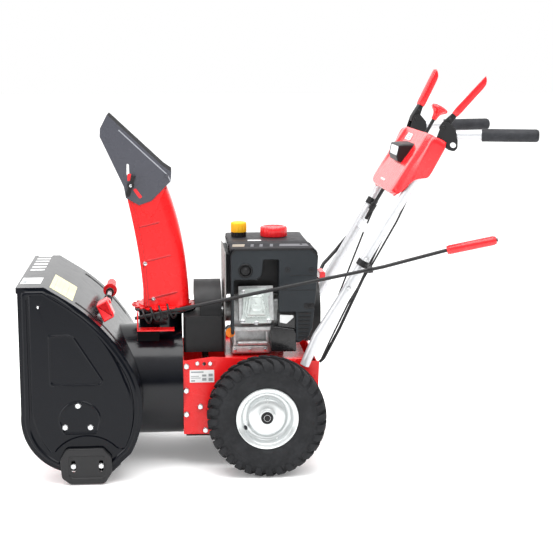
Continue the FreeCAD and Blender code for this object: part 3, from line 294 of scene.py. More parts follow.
def fill_flat(form, rings):
    """Faces on a flat area bounded by rings of vertices."""
    edges = []
    for ring in rings:
        edges += [form.edges.get((a, b)) or form.edges.new((a, b)) for a, b in zip(ring, ring[1:] + ring[:1])]
    bmesh.ops.triangle_fill(form, use_beauty=True, use_dissolve=False, edges=edges)


def add_rings(form, rings, loop=False):
    """A closed skin through rings of points, capped at its ends unless it loops round."""
    rows = [[form.verts.new(point) for point in ring] for ring in rings]
    skin(form, rows, loop=loop)
    if not loop:
        form.faces.new(rows[0])
        form.faces.new(rows[-1])
    return rows


def ring_round(centre, first, second, radius, steps, start=0.0):
    turns = [start + 2 * math.pi * k / steps for k in range(steps)]
    return [centre + (first * math.cos(a) + second * math.sin(a)) * radius for a in turns]


def square_to(axis):
    """Two unit vectors square to an axis and to each other."""
    first = axis.cross(Vector((0, 0, 1)) if abs(axis.z) < 0.9 else Vector((1, 0, 0))).normalized()
    return first, axis.cross(first).normalized()


def add_spin(form, profile, centre, axis, steps=48, loop=False):
    """Adds a profile of (along, radius) pairs in millimetres, turned about an axis through centre."""
    axis = Vector(axis).normalized()
    first, second = square_to(axis)
    rings = [ring_round(centre + axis * (a / 1000), first, second, max(r / 1000, LEAST_RADIUS), steps)
             for a, r in profile]
    add_rings(form, rings, loop=loop)


def spun(name, profile, centre, axis, steps=48, loop=False, sharp=35):
    form = bmesh.new()
    add_spin(form, profile, centre, axis, steps, loop)
    return mesh_from(name, form, sharp)


def piece_of(name, mesh, slot, body, replaces=(), material=None):
    """A finished piece: its object, its finish, the body it rides on and the CAD nodes it stands for."""
    piece = bpy.data.objects.new(name, mesh)
    bpy.context.scene.collection.objects.link(piece)
    piece.data.materials.clear()
    piece.data.materials.append(material or MATERIALS[slot])
    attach(piece, body)
    if replaces:
        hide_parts(*replaces)
        REPLACED.update(replaces)
    return piece


def piece_from(form, name, slot, body="machine", replaces=(), material=None):
    return piece_of(name, mesh_from(name, form), slot, body, replaces, material)


def blacken(mesh, wanted):
    """Matte black on the faces that are wanted."""
    mesh.materials.append(MATTE_BLACK)
    for face in mesh.polygons:
        if wanted(face):
            face.material_index = 1


def thicken(piece, thickness, offset=-1):
    made = piece.modifiers.new("wall", "SOLIDIFY")
    made.thickness = thickness
    made.offset = offset


def subdivide(piece, levels):
    made = piece.modifiers.new("smooth", "SUBSURF")
    made.levels = made.render_levels = levels


def bevel(piece, width, segments=2, angle=35):
    made = piece.modifiers.new("edges", "BEVEL")
    made.width = width
    made.segments = segments
    made.limit_method = "ANGLE"
    made.angle_limit = math.radians(angle)
    made.harden_normals = True
    made.use_clamp_overlap = False
    return piece


def weighted(piece):
    made = piece.modifiers.new("flats", "WEIGHTED_NORMAL")
    made.keep_sharp = True
    made.weight = 80
    return piece


def clean_copy(node):
    """A CAD node's mesh as a bmesh, joined up and with its flat faces whole."""
    form = bmesh.new()
    form.from_mesh(NODES[node].data)
    bmesh.ops.remove_doubles(form, verts=form.verts, dist=0.000004)
    bmesh.ops.dissolve_limit(form, angle_limit=math.radians(0.4), verts=form.verts, edges=form.edges)
    for layer in list(form.loops.layers.float_vector):
        form.loops.layers.float_vector.remove(layer)
    return form


def cad_mesh(name, form):
    """A mesh from a CAD node's bmesh, without the normals that came with the node."""
    mesh = bpy.data.meshes.new(name)
    form.to_mesh(mesh)
    form.free()
    if "custom_normal" in mesh.attributes:
        mesh.attributes.remove(mesh.attributes["custom_normal"])
    return finish_mesh(mesh)


def soften(node, width=0.0007):
    """The CAD piece again with its edges rounded, so that they catch the light."""
    mesh = cad_mesh(node + "_soft", clean_copy(node))
    return bevel(piece_of(node + "_soft", mesh, SLOT_OF[node], BODY_OF[node], [node]), width)


def islands(form):
    """The vertices of each separate solid in a bmesh."""
    left = set(form.verts)
    groups = []
    while left:
        stack = [left.pop()]
        found = list(stack)
        while stack:
            for edge in stack.pop().link_edges:
                for vert in edge.verts:
                    if vert in left:
                        left.remove(vert)
                        stack.append(vert)
                        found.append(vert)
        groups.append(found)
    return groups


# Flat outlines, as lists of (x, z) pairs in millimetres
def arc_through(a, b, c, steps=20):
    """Points along the arc from a through b to c, without the last."""
    (ax, ay), (bx, by), (cx, cy) = a, b, c
    d = 2 * (ax * (by - cy) + bx * (cy - ay) + cx * (ay - by))
    ux = ((ax**2 + ay**2) * (by - cy) + (bx**2 + by**2) * (cy - ay) + (cx**2 + cy**2) * (ay - by)) / d
    uy = ((ax**2 + ay**2) * (cx - bx) + (bx**2 + by**2) * (ax - cx) + (cx**2 + cy**2) * (bx - ax)) / d
    radius = math.hypot(ax - ux, ay - uy)
    start, middle, end = (math.atan2(y - uy, x - ux) for x, y in (a, b, c))
    turn = (end - start) % (2 * math.pi)
    if (middle - start) % (2 * math.pi) > turn:
        turn -= 2 * math.pi
    angles = [start + turn * k / steps for k in range(steps)]
    return [(ux + radius * math.cos(t), uy + radius * math.sin(t)) for t in angles]


def rounded(loop, radius, steps=6, least=20):
    """A closed outline with its corners of more than the least angle rounded."""
    made = []
    count = len(loop)
    for k in range(count):
        before, corner, after = Vector(loop[k - 1]), Vector(loop[k]), Vector(loop[(k + 1) % count])
        one, two = before - corner, after - corner
        turn = math.pi - one.angle(two)
        if math.degrees(turn) < least:
            made.append(tuple(corner))
            continue
        reach = min(radius * math.tan(turn / 2), 0.48 * one.length, 0.48 * two.length)
        start, end = corner + one.normalized() * reach, corner + two.normalized() * reach
        for j in range(steps + 1):
            t = j / steps
            made.append(tuple(start * (1 - t) ** 2 + corner * 2 * t * (1 - t) + end * t**2))
    return made


def inset(loop, distance):
    """A closed outline moved inwards."""
    count = len(loop)
    area = sum(loop[k - 1][0] * loop[k][1] - loop[k][0] * loop[k - 1][1] for k in range(count))
    way = 1 if area > 0 else -1
    made = []
    for k in range(count):
        before, corner, after = Vector(loop[k - 1]), Vector(loop[k]), Vector(loop[(k + 1) % count])
        one, two = (corner - before).normalized(), (after - corner).normalized()
        normals = Vector((-one.y, one.x)) * way, Vector((-two.y, two.x)) * way
        mean = (normals[0] + normals[1]).normalized()
        made.append(tuple(corner + mean * distance / max(mean.dot(normals[0]), 0.35)))
    return made


def add_layers(form, loop, levels, place):
    """A closed skin through an outline at (inset, outwards) levels; place(a, b, outwards) gives the point."""
    add_rings(form, [[place(a, b, out) for a, b in inset(loop, d)] for d, out in levels])


# ---- wheels
LUGS = 32
WHEEL_HALF_WIDTH = 52
# half the track in millimetres, from the tyres' outermost reach
TRACK_HALF = (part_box("tyres")[1].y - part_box("tyres")[0].y) * 500 - WHEEL_HALF_WIDTH
TYRE_SECTION = [(-33.5, 82), (-34.5, 88), (-41, 92), (-46.5, 99), (-49.5, 108), (-51, 118), (-51.4, 124),
                (-51.9, 125), (-51.3, 126.4), (-50.6, 134), (-49, 143), (-45.5, 150), (-38, 155.2),
                (-20, 157.4)]
LUG_PATH = [(-9, 157.2), (-20, 157), (-30, 156.2), (-38, 154.6), (-44, 151), (-48, 146), (-50, 140),
            (-50.6, 136)]
LUG_HEIGHT = [8.6, 8.6, 8.8, 9.0, 8.0, 5.0, 2.2, 0.4]
LUG_WIDTH = [17, 19, 20.5, 21.5, 21.5, 20.5, 18.5, 17]


def tyre_mesh(side):
    centre = at(0, side * TRACK_HALF, AXLE_HEIGHT)
    form = bmesh.new()
    section = TYRE_SECTION + [(-a, r) for a, r in reversed(TYRE_SECTION)]
    add_spin(form, section, centre, (0, 1, 0), 128, loop=True)
    for row in (-1, 1):
        for k in range(LUGS):
            add_lug(form, centre, row, 2 * math.pi * (k + (0.5 if row > 0 else 0)) / LUGS)
    return mesh_from("tyre", form, 40)


def add_lug(form, centre, row, angle):
    """One tread block: it leans over the crown, wraps round the shoulder and fades down the wall."""
    rings = []
    for k, ((along, radius), height, width) in enumerate(zip(LUG_PATH, LUG_HEIGHT, LUG_WIDTH)):
        after = LUG_PATH[min(k + 1, len(LUG_PATH) - 1)]
        before = LUG_PATH[max(k - 1, 0)]
        out = Vector((-(after[1] - before[1]), after[0] - before[0])).normalized() * -1
        lean = 0.16 * row * math.exp(-k / 2.2)
        ring = []
        for across, lift in ((-0.5, -0.25), (-0.43, 1), (0.43, 1), (0.5, -0.25)):
            a = along + out.x * height * lift
            r = radius + out.y * height * lift
            turn = angle + lean + across * width / radius
            spoke = Vector((math.sin(turn), 0, math.cos(turn)))
            ring.append(centre + Vector((0, row * -a / 1000, 0)) + spoke * (r / 1000))
        rings.append(ring)
    add_rings(form, rings)


RIM_SECTION = [(36, 86.3), (36.4, 84.6), (35, 83.2), (33, 79.5), (31.4, 74.5), (30.6, 73.4), (29, 72.4),
               (24, 70.8), (14, 69), (10.6, 67), (9.4, 62.5), (9.8, 58), (12, 55), (16, 53), (18.6, 51.4),
               (20.4, 48), (22.2, 38), (22.8, 26), (23.4, 24.6), (24.6, 23.6), (24.8, 20.6), (26.2, 20),
               (26.2, 9.9)]


def rim_mesh(side):
    centre = at(0, side * TRACK_HALF, AXLE_HEIGHT)
    inner = [(-26, 9.9), (-26, 19), (8, 20), (14, 34), (6.5, 44), (5.5, 60), (7, 64.5), (-30, 70),
             (-33.6, 79.8), (-36, 83), (-36, 86.3), (-34.4, 86.3), (-33.9, 81), (33.9, 81), (34.4, 86.3)]
    profile = [(side * a, r) for a, r in RIM_SECTION + inner]
    return spun("rim", profile, centre, (0, 1, 0), 96, loop=True, sharp=50)


def hub_cap_mesh(side):
    """A black plastic cap over the axle's end."""
    centre = at(0, side * (TRACK_HALF + 26.2), AXLE_HEIGHT)
    profile = [(0, 0), (0, 17), (2.4, 17), (3.4, 16.2), (4, 14.6), (3.2, 13.6), (2.6, 12.8), (2.6, 0)]
    return spun("hub_cap", [(side * a, r) for a, r in profile], centre, (0, 1, 0), 40)


def valve_mesh(side):
    """A rubber snap-in valve, leaning outwards from the rim's well, with its cap."""
    foot = at(-62, side * (TRACK_HALF + 11), 134)
    way = (Vector((-0.62, 0, -0.26)) + Vector((0, side * 0.74, 0))).normalized()
    profile = [(-4, 7.4), (0, 7.2), (3, 5.4), (12, 4.4), (16, 4.2), (16.4, 3.6), (18, 3.4), (18.2, 4.4),
               (25, 4.4), (26.4, 3.6), (26.8, 2)]
    return spun("valve", profile, foot, way, 20)


def build_wheels():
    for side, word in SIDES:
        tyre = piece_of("tyre_" + word, tyre_mesh(side), "tyre_rubber", "wheels", ["tyres"])
        bevel(tyre, 0.0009, 1, 50)
        piece_of("rim_" + word, rim_mesh(side), "rim_paint", "wheels", ["rims"])
        bevel(piece_of("hub_cap_" + word, hub_cap_mesh(side), "black_plastic", "wheels"), 0.0004)
        piece_of("valve_" + word, valve_mesh(side), "grip_rubber", "wheels")


build_wheels()


# ---- auger housing
def housing_outline():
    """The side plate's edge, clockwise from its top front corner."""
    loop = [(-668, 546)]
    loop += arc_through((-668, 201), (-634, 86), (-565, 38))
    loop += [(-565, 38), (-428, 34)]
    loop += arc_through((-375, 82), (-342.5, 217), (-379, 338))
    loop += arc_through((-379, 338), (-452, 437), (-538, 508.6))
    return loop + [(-538, 508.6), (-597, 546)]


def inner_panel_outline():
    """The raised middle of the plate, arched over the skid shoe."""
    loop = [(-641, 533)]
    loop += arc_through((-641, 205), (-622, 137), (-592, 88))
    loop += [(-592, 86), (-578, 90)]
    loop += arc_through((-570, 100), (-493, 133), (-416, 100), 12)
    loop += [(-416, 100), (-404, 93), (-386, 98)]
    loop += arc_through((-384, 106), (-365, 190), (-386, 289))
    loop += arc_through((-386, 289), (-449, 410), (-566, 522))
    return loop + [(-566, 522), (-591, 533)]


RIDGE = ((0, 0), (1.0, 0.3), (2.6, 2.1), (4, 2.6), (5.4, 2.1), (7, 0.3), (8, 0))
BEAD = ((0, 0), (1, 0.3), (3.4, 3.4), (6, 4.4), (9, 4.4), (11.6, 3.4), (14, 0.3), (15, 0))
STEP = ((0, 0), (1, 0.2), (3.2, 1.9), (5.4, 3.4), (6.4, 3.6))


class Embossed:
    """A pressed sheet, built outwards from a flat outline by features that step in or out."""

    def __init__(self, side, y):
        self.form = bmesh.new()
        self.side = side
        self.y = y

    def ring(self, loop, height):
        return [self.form.verts.new(at(x, self.side * (self.y + height), z)) for x, z in loop]

    def feature(self, loop, profile, base, radius, inside=()):
        """A stepped ring; returns its outermost vertices, and fills what lies inside it."""
        rings = [self.ring(rounded(inset(loop, d), radius), base + h) for d, h in profile]
        skin(self.form, rings)
        level = base + profile[-1][1]
        self.fill(rings[-1], [child(level) for child in inside])
        return rings[0]

    def hole(self, loop, base, depth=0):
        """An opening, with walls going in where a depth is given; returns its edge's vertices."""
        ring = self.ring(loop, base)
        if depth:
            skin(self.form, [ring, self.ring(loop, base - depth)])
        return ring

    def fill(self, outer, holes):
        fill_flat(self.form, [outer] + holes)


def side_plate_mesh(side):
    sheet = Embossed(side, 277.2)
    outline = housing_outline()
    badge = [(-591, 419), (-534, 419), (-519, 411), (-443, 288), (-452, 274), (-591, 275)]
    boss = arc_through((-570, 178), (-513, 236), (-452, 178), 16) + [(-452, 178), (-462, 140), (-558, 140)]

    def centre(level):
        inside = [lambda base: sheet.feature(badge, RIDGE, base, 9),
                  lambda base: sheet.feature(boss, RIDGE, base, 11),
                  lambda base: sheet.hole(circle(-613, 493, 4, 16), base)]
        return sheet.feature(inner_panel_outline(), STEP, level, 9, inside)

    def bead(level):
        return sheet.feature(inset(outline, 9), BEAD, level, 12, [centre])

    sheet.fill(sheet.ring(outline, 0), [bead(0)])
    return mesh_from("side_plate", sheet.form, 60)


def build_side_plates():
    for side, word in SIDES:
        plate = piece_of("side_plate_" + word, side_plate_mesh(side), "housing_paint", "machine",
                         ["side_plates"], PLATE_SHADED_PAINT)
        thicken(plate, 0.0024)
        weighted(plate)


build_side_plates()


# ---- console and headlamp
def prism(form, outline, low, high, place):
    """A closed prism of an (a, b) outline between two levels; place(a, b, level) gives the point."""
    add_rings(form, [[place(a, b, level) for a, b in outline] for level in (low, high)])


def flat_piece(name, outline, low, high, place, slot, body, width=0.0006, replaces=(), material=None):
    form = bmesh.new()
    prism(form, outline, low, high, place)
    return bevel(piece_of(name, mesh_from(name, form), slot, body, replaces, material), width)


CONSOLE_FOOT, CONSOLE_HEAD = (355.0, 783.0), (455.0, 941.0)


def console_point(u, y, depth):
    """A place on the console: u runs up its sloping face in millimetres, depth goes in towards the bars."""
    (x0, z0), (x1, z1) = CONSOLE_FOOT, CONSOLE_HEAD
    length = math.hypot(x1 - x0, z1 - z0)
    along = ((x1 - x0) / length, (z1 - z0) / length)
    return at(x0 + along[0] * u + along[1] * depth, y, z0 + along[1] * u - along[0] * depth)


def console_ring(u, crest, wall, half, lip, skirt, hollow, rise):
    """One section across the moulding, from flank to flank.

    crest is the half width of the raised shoulders, wall how far the face steps down outside them,
    half the half width over the flanks, lip and skirt the depths of the flank's front and back edge,
    hollow how deep the middle is sunk, and rise how far the whole section is turned back.
    """
    top = -6.5
    ring = [(0, top + hollow), (60, top + hollow), (crest - 48, top + hollow),
            (crest - 41, top + 0.92 * hollow)]
    ring += [(crest - 33, top + 0.08 * hollow), (crest - 27, top), (crest - 8, top + 0.6),
             (crest - 2, top + 1.4)]
    ring += [(crest + 1, top + 3.4), (crest + 3, top + 0.55 * wall + 2), (crest + 5, top + wall + 2)]
    ring += [(crest + 8, top + wall + 3), (half - 6, lip - 2.5), (half - 1.5, lip - 0.5), (half, lip + 2.5)]
    ring += [(half, lip + 0.5 * (skirt - lip)), (half, skirt)]
    floor = max(skirt, 4)
    ring = [(min(y, half), min(depth, floor) + rise) for y, depth in ring]
    return [console_point(u, y, d) for y, d in [(-y, d) for y, d in reversed(ring[1:])] + ring]


# u, crest, wall, half, lip, skirt, hollow, rise
CONSOLE_STATIONS = [(-9, 120, 2, 138, 4, 5, 0, 9.5), (-8, 138, 3, 158, 4, 6, 0, 5.0),
                    (-5, 155, 5, 172, 5, 8, 0, 2.5), (0, 172, 8, 190, 6, 10, 0, 1.4),
                    (6, 180, 10, 198, 9, 13, 0, 0.8), (20, 184, 12, 206, 13, 16, 0, 0.4),
                    (36, 185, 11, 213, 15, 18, 0.5, 0), (52, 185, 10, 219, 16, 22, 1.6, 0),
                    (64, 185, 9, 222, 16, 28, 2.6, 0), (76, 185, 8, 223.5, 16, 46, 3.6, 0),
                    (83, 185, 8, 227, 14, 52, 4.2, 0), (105, 185, 7, 234, 10, 50, 5.8, 0),
                    (140, 184, 7, 240, 5, 46, 8, 0), (165, 183, 7, 242, 2, 44, 9.5, 0),
                    (174, 182, 7, 242, 2, 43, 7, 0), (181, 181, 7, 241, 3, 40, 2.5, 1.0),
                    (186, 179, 7, 238, 6, 34, 0, 4), (188, 177, 7, 235, 10, 30, 0, 10),
                    (188.4, 176, 7, 234, 12, 30, 0, 15)]


def build_console():
    form = bmesh.new()
    skin(form, [[form.verts.new(p) for p in console_ring(*station)] for station in CONSOLE_STATIONS],
         closed=False)
    console = piece_of("console_shell", mesh_from("console", form, 60), "red_plastic", "machine",
                       ["dash_panel"])
    subdivide(console, 2)
    thicken(console, 0.003)
    patch = rounded([(150, 26), (171, 30), (171, 100), (150, 104)], 3)
    place = console_point
    flat_piece("console_sticker", patch, -1, 1, lambda u, y, d: place(u, y, 1.2 + d), "lamp_lens",
               "machine", 0.0003, material=STICKER_WHITE)
    for k in range(3):
        low, end = 153 + 5.5 * k, 92 - 18 * (k == 1)
        row = oblong(low, low + 3, 38, end)
        flat_piece("console_sticker_row_%d" % k, row, -1, 1, lambda u, y, d: place(u, y, 0.7 + d),
                   "black_plastic", "machine", 0.0002, material=STICKER_GREY)
    strip = rounded(oblong(13, 18, -18, 44), 2)
    flat_piece("console_mark", strip, -1, 1, lambda u, y, d: place(u, y, -6.6 + d), "lamp_lens", "machine",
               0.0003, material=STICKER_WHITE)


def build_console_back():
    """The closing plate inside the console, in front of the bars, with two stiffening ribs."""
    loop = rounded([(12, -160), (12, 160), (60, 184), (176, 184), (176, -184), (60, -184)], 10, 5)
    form = bmesh.new()
    prism(form, loop, 10.5, 12.5, console_point)
    for y in (-96, 96):
        prism(form, oblong(30, 170, y - 2, y + 2), 12, 15.5, console_point)
    bevel(piece_from(form, "console_back", "red_plastic"), 0.0006)


def build_lamp():
    """The headlamp: a wedge standing off the console with its lens let into the front."""
    half = 1000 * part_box("headlight_bezel")[1].y - 0.5
    form = bmesh.new()
    slope = (388.5 - 382.5) / (901.5 - 868)

    def front(z):
        return 382.5 + (z - 868) * slope

    rim = rounded([(-half + 1.5, 866), (half - 1.5, 866), (half, 902), (-half, 902)], 5, 4)
    rows = []
    for shrink, back in ((7.5, 9.0), (7.0, 2.2), (5.6, 0.8), (3.6, 0.3), (1.4, 0.0), (0, 1.6)):
        scale_y, scale_z = (half - shrink) / half, (18 - shrink) / 18
        rows.append([at(front(z) + back, y * scale_y, 884 + (z - 884) * scale_z) for y, z in rim])
    side = []
    for y, z in rim:
        low = max(0.0, min(1.0, (902 - z) / 36))
        side.append((y, z, low))
    rows.append([at(396 + (z - 884) * 0.40 - 3 * low, y, z - 9 * low + 2.5 * (1 - low))
                 for y, z, low in side])
    rows.append([at(431 - 29 * low + 8, y * 0.985, z - 18 * low + 3.5 * (1 - low)) for y, z, low in side])
    skin(form, [[form.verts.new(p) for p in ring] for ring in rows])
    form.verts.ensure_lookup_table()
    count = len(rim)
    form.faces.new(form.verts[:count])
    form.faces.new(form.verts[-count:])
    lamp = piece_of("lamp_housing", mesh_from("lamp", form, 32), "black_plastic", "machine",
                    ["headlight_bezel"])
    bevel(lamp, 0.0007)
    form = bmesh.new()
    rows = []
    for j in range(9):
        z = 869.5 + 29 * j / 8
        row = []
        for k in range(73):
            y = (half - 6.4) * (2 * k / 72 - 1)
            crown = 1.0 * (1 - (y / half) ** 2) + 0.6 * (1 - ((j - 4) / 4) ** 2)
            flute = 0.35 * abs(math.sin(math.pi * k / 4))
            row.append(form.verts.new(at(front(z) + 2.0 - crown - flute, y, z)))
        rows.append(row)
    skin(form, rows, closed=False)
    glass = piece_of("lamp_lens_fluted", mesh_from("lens", form, 60), "lamp_lens", "machine",
                     ["headlight_lens"])
    thicken(glass, 0.0018, offset=1)


STICKER_WHITE = plastic("sticker_white", (0.80, 0.81, 0.81), 0.35, 0.00001, coat=0.3)
STICKER_GREY = plastic("sticker_grey", (0.30, 0.32, 0.33), 0.4, 0.00001)
STICKER_YELLOW = plastic("sticker_yellow", (0.82, 0.80, 0.42), 0.4, 0.00001, coat=0.2)

build_console()
build_lamp()
build_console_back()


# ---- levers, brackets, knob and grips
LEVER_PIVOT = (484.0, 217.8, 963.0)
SPLAY = math.radians(14.7)


def splayed(side):
    """A function placing (along, across, up) from a lever's pivot, turned out with the grip."""
    px, py, pz = LEVER_PIVOT

    def place(along, across, up):
        x = along * math.cos(SPLAY) - across * math.sin(SPLAY)
        y = along * math.sin(SPLAY) + across * math.cos(SPLAY)
        return at(px + x, side * (py + y), pz + up)
    return place


def lever_meshes(side, reach, rise):
    """(black base, red paddle) of a clutch lever: a pressed channel, and a bar dipped in soft red."""
    place = splayed(side)
    length = math.hypot(reach, rise)
    way, across = (reach / length, rise / length), (-rise / length, reach / length)

    def put(t, a, b):
        return place(way[0] * t + across[0] * b, a, way[1] * t + across[1] * b)

    def ring(t, low, high, half, slant=0.0):
        corners = oblong(-half, half, low, high)
        loop = rounded(corners, min(3.2, 0.45 * (high - low), 0.45 * 2 * half), 3)
        return [put(t + slant * (b - low), a, b) for a, b in loop]

    base = bmesh.new()
    stations = [(-12, -7, 6, 8.0), (-8, -11, 9, 9.5), (4, -12.5, 11, 10), (16, -11.5, 10.5, 9.6),
                (30, -9.5, 9, 9), (40, -8.2, 8, 8.6), (47, -7.6, 7.4, 8.4)]
    add_rings(base, [ring(*row) for row in stations])
    for t, b in ((8, -1.5), (27, 0.5)):
        for turn in (-1, 1):
            profile = [(-2, 4.2), (0.8, 4.2), (1.9, 3), (2.3, 0.1)]
            foot = put(t, turn * 9.6, b)
            add_spin(base, profile, foot, (put(t, turn * 20, b) - foot), 16)
    tip = length
    paddle = bmesh.new()
    stations = [(43.4, -7.6, 7.6, 10.8), (44.6, -8.9, 8.9, 12), (60, -10, 10, 12),
                (tip - 70, -9.6, 9.6, 12), (tip - 34, -9.4, 9.2, 12), (tip - 26, -8.8, 9.1, 12, 0.25),
                (tip - 20, -7.8, 9.0, 12, 0.55), (tip - 16, -5.8, 8.6, 11.6, 0.75),
                (tip - 11, -2.4, 8.0, 11, 0.8), (tip - 7.5, 1.4, 7.2, 9.6, 0.7),
                (tip - 5.2, 4.0, 6.6, 7, 0.6)]
    add_rings(paddle, [ring(*row) for row in stations])
    return mesh_from("lever_base", base, 45), mesh_from("lever_paddle", paddle, 60)


BRACKET_OUTLINE = [(-20, -34), (-4, 12), (14, 12), (34, -10), (38, -34), (38, -58), (30, -66), (14, -62),
                   (-6, -47)]


def bracket_mesh(side):
    """Two rounded cheeks with a hole each, either side of the lever, and the saddle on the bar."""
    place = splayed(side)
    form = bmesh.new()
    outline = rounded(BRACKET_OUTLINE, 9, 5)
    hole = circle(26, -50, 8.5, 20)
    for low, high in ((-15.8, -12.8), (12.8, 15.8)):
        levels = []
        for level in (low, high):
            outer = [form.verts.new(place(a, level, b)) for a, b in outline]
            inner = [form.verts.new(place(a, level, b)) for a, b in hole]
            fill_flat(form, [outer, inner])
            levels.append((outer, inner))
        for k in range(2):
            skin(form, [levels[0][k], levels[1][k]])
    saddle = [(-14, -36), (-8, -39), (36, -39), (36, -36)]
    prism(form, saddle, -12.9, 12.9, lambda a, b, level: place(a, level, b))
    profile = [(-18.5, 0.1), (-18.2, 4.5), (-16, 5.5), (16, 5.5), (18.2, 4.5), (18.5, 0.1)]
    add_spin(form, profile, place(0, 0, 0), place(0, 30, 0) - place(0, 0, 0), 20)
    return mesh_from("bracket", form)


def build_levers():
    for side, word, reach, rise in ((-1, "left", 118, 133), (1, "right", 77, 145)):
        base, paddle = lever_meshes(side, reach, rise)
        body = word + "_lever"
        piece_of("lever_base_" + word, base, "black_steel", body, ["lever_" + word])
        piece_of("lever_paddle_" + word, paddle, "red_plastic", body, ["lever_" + word])
        bevel(piece_of("lever_cheeks_" + word, bracket_mesh(side), "black_steel", "machine",
                       ["lever_brackets"]), 0.0006)


def build_knob():
    """A red mushroom knob, flared and notched round its rim."""
    foot = at(508, 0, 985)
    way = Vector((0.48, 0, 0.877)).normalized()
    first, second = square_to(way)
    profile = [(-17, 6.5), (-16, 7.6), (-6, 8.2), (2, 10.5), (7, 15), (11, 21), (15, 25.4), (19, 26.6),
               (23, 25), (26, 19), (27.5, 10), (28, 0.05)]
    form = bmesh.new()
    rings = []
    for a, r in profile:
        ring = []
        for k in range(48):
            t = 2 * math.pi * k / 48
            wave = 1 - 0.075 * (0.5 + 0.5 * math.cos(8 * t)) * min(1.0, max(0.0, (r - 12) / 8))
            spoke = first * math.cos(t) + second * math.sin(t)
            ring.append(foot + way * (a / 1000) + spoke * (r * wave / 1000))
        rings.append(ring)
    add_rings(form, rings)
    knob = piece_of("gear_knob", mesh_from("knob", form, 50), "red_plastic", BODY_OF["shift_knob"],
                    ["shift_knob"])
    subdivide(knob, 1)


def build_grips():
    """Plain soft grips with a rolled cuff and a rounded end."""
    for side, word in SIDES:
        way = Vector((math.cos(SPLAY), side * math.sin(SPLAY), 0))
        profile = [(86, 12.7), (86, 16.6), (87.5, 17.3), (92, 17.4), (100, 17.3)]
        profile += [(100 + 30 * k, 17.3) for k in range(1, 5)]
        profile += [(227, 17.4), (232, 17.0), (236, 15.0), (238.4, 11), (239, 6), (239, 0.05)]
        mesh = spun("grip", profile, at(500, side * 222, 941), way, 48)
        piece_of("grip_" + word, mesh, "grip_rubber", "machine", ["grips"])


build_levers()
build_knob()
build_grips()


# ---- engine: side cover, top, caps, head and crankcase
COVER_FACE = 1000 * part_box("side_cover")[0].y
PRIMER_PLACE = (-52, 560)
TANK_BACK = 1000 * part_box("fuel_tank")[1].y


def facing(y):
    """A function placing (x, z, outwards) on an upright plane that faces the left side."""
    return lambda x, z, out=0.0: at(x, y - out, z)


def cover_outline():
    """The cover's edge seen from the left, with the opening for the valve cover cut into it."""
    loop = [(-93, 378), (-93, 598), (-91, 610), (-80, 621), (-66, 622)]
    loop += [(128, 622), (142, 616), (153, 600), (148, 500), (137, 392), (126, 368), (100, 352), (90, 352)]
    return loop + [(90, 440), (42, 440), (42, 590), (-2, 590), (-5, 552), (-10, 541), (-22, 534),
                   (-84, 534), (-84, 378)]


def cover_mesh():
    """The moulded cover: a thick front with rounded edges, sides turned back to the engine."""
    loop = rounded(cover_outline(), 5, 4, least=12)
    form = bmesh.new()
    place = facing(COVER_FACE)
    levels = [(0.0, -40), (0.0, -6), (0.25, -3.4), (1.0, -1.6), (2.4, -0.4), (4.2, -0.02)]
    rings = [[place(x, z, out) for x, z in inset(loop, d)] for d, out in levels]
    rows = [[form.verts.new(p) for p in ring] for ring in rings]
    skin(form, rows)
    well = [[form.verts.new(place(x, z, out)) for x, z in circle(*PRIMER_PLACE, radius, 36)]
            for radius, out in ((21, -0.02), (20.4, -0.5), (20.0, -3.5), (15.4, -4.0), (15.2, -12))]
    fill_flat(form, [rows[-1], well[0]])
    skin(form, well)
    return mesh_from("cover", form, 40)


def screw_head(form, x, z, radius, out=0.0):
    """A recessed screw: a raised collar round a cross-slotted head."""
    place = facing(COVER_FACE)
    centre = place(x, z, out)
    collar = [(-2, radius * 1.15), (0.5, radius * 1.15), (0.9, radius * 1.0), (0.2, radius * 0.85),
              (-1.5, radius * 0.8)]
    add_spin(form, collar, centre, (0, -1, 0), 24)
    head = [(-2, radius * 0.7), (-0.4, radius * 0.7), (0.1, radius * 0.5), (0.1, 0.02)]
    add_spin(form, head, centre, (0, -1, 0), 20)
    for wide, tall in ((radius * 0.5, 0.7), (0.7, radius * 0.5)):
        prism(form, oblong(x - wide, x + wide, z - tall, z + tall), 0.0, 0.7, place)


